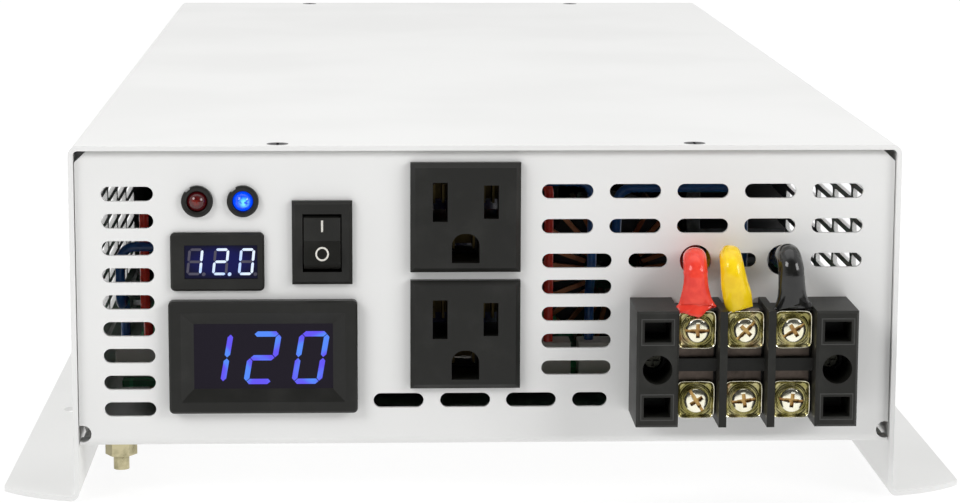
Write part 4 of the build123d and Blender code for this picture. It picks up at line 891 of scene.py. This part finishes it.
def glowing(colour, strength, base=(0.02, 0.02, 0.03), other=None):
    def build(flow):
        patch = flow.cloud(190, 1).fade(0.38, 0.62)
        return principled(
            flow, Base_Color=base, Roughness=0.35 + (patch - 0.5) * 0.05,
            Specular_IOR_Level=0.1, Emission_Strength=strength,
            Emission_Color=flow.mix(patch, colour, other or tuple(c * 0.8 for c in colour)))
    return build


# the blue field that the small meter's digits light up behind them
fieldLook = {"halfWide": 9.0, "halfHigh": 4.15, "across": 0.9, "above": (0.005, 0.015)}


def blueField(flow):
    case = middleOf("dc_meter_case")
    heart = Vector((case.x + fieldLook["across"] + 0.05, screenY, case.z + 0.05)) * mm
    where = flow.node("ShaderNodeVectorMath", {"operation": "SUBTRACT"}, {0: flow.place(), 1: heart})
    flat = flow.node("ShaderNodeVectorMath", {"operation": "MULTIPLY"}, {0: where, 1: (0.45, 1.0, 1.0)})
    far = flow.node("ShaderNodeVectorMath", {"operation": "LENGTH"}, {0: flat}, out="Value")
    grain = flow.cloud(1500, 1)
    tone = flow.mix(far.fade(0.0020, 0.0047), (0.002, 0.003, 0.06), (0.001, 0.001, 0.006))
    return principled(
        flow, Base_Color=(0.004, 0.004, 0.02), Roughness=0.3 + grain * 0.05, Specular_IOR_Level=0.1,
        Emission_Color=tone, Emission_Strength=1.0)


def addField():
    look = fieldLook
    case = middleOf("dc_meter_case")
    halfWide, halfHigh = look["halfWide"], look["halfHigh"]
    corners = [(-halfWide, -halfHigh), (halfWide, -halfHigh), (halfWide, halfHigh), (-halfWide, halfHigh)]
    rings = [[(case.x + look["across"] + x, screenY - above, case.z + z) for x, z in corners]
             for above in look["above"]]
    made = addPiece("dcField", *skin(rings), "display", "case", (), False)
    made.data.materials[0] = newMaterial("dcFieldGlow", blueField)


addField()
glowLooks = {
    "dcLit": newMaterial("dcDigitGlow", glowing((0.50, 0.66, 1.0), 1.1, other=(0.75, 0.85, 1.0))),
    # painted light: the unlit bars glow faintly so that they read grey
    "dcUnlit": newMaterial("dcDigitDark", glowing((0.05, 0.05, 0.09), 0.5, (0.06, 0.055, 0.07))),
    "acLit": newMaterial("acDigitGlow", glowing((0.12, 0.08, 0.95), 0.95, other=(0.08, 0.26, 1.0)))}
for meter in digitLook:
    addDigits(meter)
print("marks and digits made")

# softened edges on the plain nodes
edgeSoftness = {
    "terminal_block": 0.22, "outlets": 0.35, "switch_frame": 0.3, "rocker": 0.35, "dc_meter_case": 0.25,
    "ac_meter_case": 0.35, "lamp_rings": 0.15, "knob_red": 0.4, "knob_black": 0.4, "base_red": 0.3,
    "base_black": 0.3, "fan_frames": 0.4, "transformer_cores": 0.4, "heatsinks": 0.2, "connectors": 0.25}
for node, width in edgeSoftness.items():
    soften(nodes[node], width)

# camera: on the panel's left, looking a little down and to the right
cameraSet = {
    "place": (-30.6 * mm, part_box("tray")[0].y - 694.6 * mm, 181.1 * mm),
    "yaw": 0.0416, "pitch": 0.168, "roll": 0.0036, "lens": 105.92}


def aimCamera():
    yaw, pitch, roll = (cameraSet[k] for k in ("yaw", "pitch", "roll"))
    ahead = Vector((math.sin(yaw) * math.cos(pitch), math.cos(yaw) * math.cos(pitch), -math.sin(pitch)))
    right = Vector((math.cos(yaw), -math.sin(yaw), 0))
    up = right.cross(ahead)
    rightRolled = math.cos(roll) * right + math.sin(roll) * up
    upRolled = math.cos(roll) * up - math.sin(roll) * right
    data = bpy.data.cameras.new("viewCamera")
    data.lens = cameraSet["lens"]
    data.sensor_width = 36
    data.clip_start = 0.02
    data.clip_end = 60
    made = bpy.data.objects.new("viewCamera", data)
    bpy.context.scene.collection.objects.link(made)
    turn = Matrix((rightRolled, upRolled, -ahead)).transposed()
    made.matrix_world = Matrix.Translation(cameraSet["place"]) @ turn.to_4x4()
    bpy.context.scene.camera = made


aimCamera()

# floor and light
lightSet = {
    "sky": 0.88, "front": 0.06, "top": 5.6, "left": 11.5, "right": 10.0, "floorGlow": 0.80,
    "floorColour": 0.2}


def paleFloor(flow):
    shine = flow.cloud(3, 1)
    return principled(
        flow, Base_Color=(lightSet["floorColour"],) * 3, Roughness=0.8 + (shine - 0.5) * 0.05,
        Emission_Color=(1.0, 1.0, 1.0), Emission_Strength=lightSet["floorGlow"])


def layFloor():
    mesh = bpy.data.meshes.new("floor")
    half = 8.0
    corners = [(-half, -half, 0), (half, -half, 0), (half, half, 0), (-half, half, 0)]
    mesh.from_pydata(corners, [], [(0, 1, 2, 3)])
    made = bpy.data.objects.new("floor", mesh)
    mesh.materials.append(newMaterial("paleFloor", paleFloor))
    bpy.context.scene.collection.objects.link(made)
    made.location.z = cadBox[0].z


def softBox(name, place, aim, size, power):
    data = bpy.data.lights.new(name, "AREA")
    data.shape = "RECTANGLE"
    data.size, data.size_y = size
    data.energy = power
    made = bpy.data.objects.new(name, data)
    bpy.context.scene.collection.objects.link(made)
    made.location = place
    made.rotation_mode = "QUATERNION"
    made.rotation_quaternion = (Vector(place) - Vector(aim)).to_track_quat("Z", "Y")


layFloor()
sky = bpy.data.worlds.new("studio")
bpy.context.scene.world = sky
sky.use_nodes = True
sky.node_tree.nodes["Background"].inputs["Strength"].default_value = lightSet["sky"]
air = Flow(sky.node_tree)  # a darker room in front of the panel, for the metals and plastics to reflect
facing = air.node("ShaderNodeVectorMath", {"operation": "DOT_PRODUCT"}, {
    0: air.node("ShaderNodeTexCoord", out="Generated"), 1: (0.0, -0.97, 0.24)}, out="Value")
tint = air.mix(facing.fade(0.25, 0.85), (1.0, 1.0, 1.0), (lightSet["front"],) * 3)
sky.node_tree.links.new(tint.socket, sky.node_tree.nodes["Background"].inputs["Color"])
softBox("topLight", (0.0, 0.1, 1.6), (0, 0, 0), (1.6, 1.6), lightSet["top"])
softBox("leftLight", (-1.1, -1.2, 1.0), (0, -0.2, 0.04), (0.7, 0.7), lightSet["left"])
softBox("rightLight", (1.2, -1.1, 0.7), (0, -0.2, 0.04), (0.7, 0.7), lightSet["right"])
bpy.context.scene.view_settings.view_transform = "Standard"
print("camera, floor and light set")
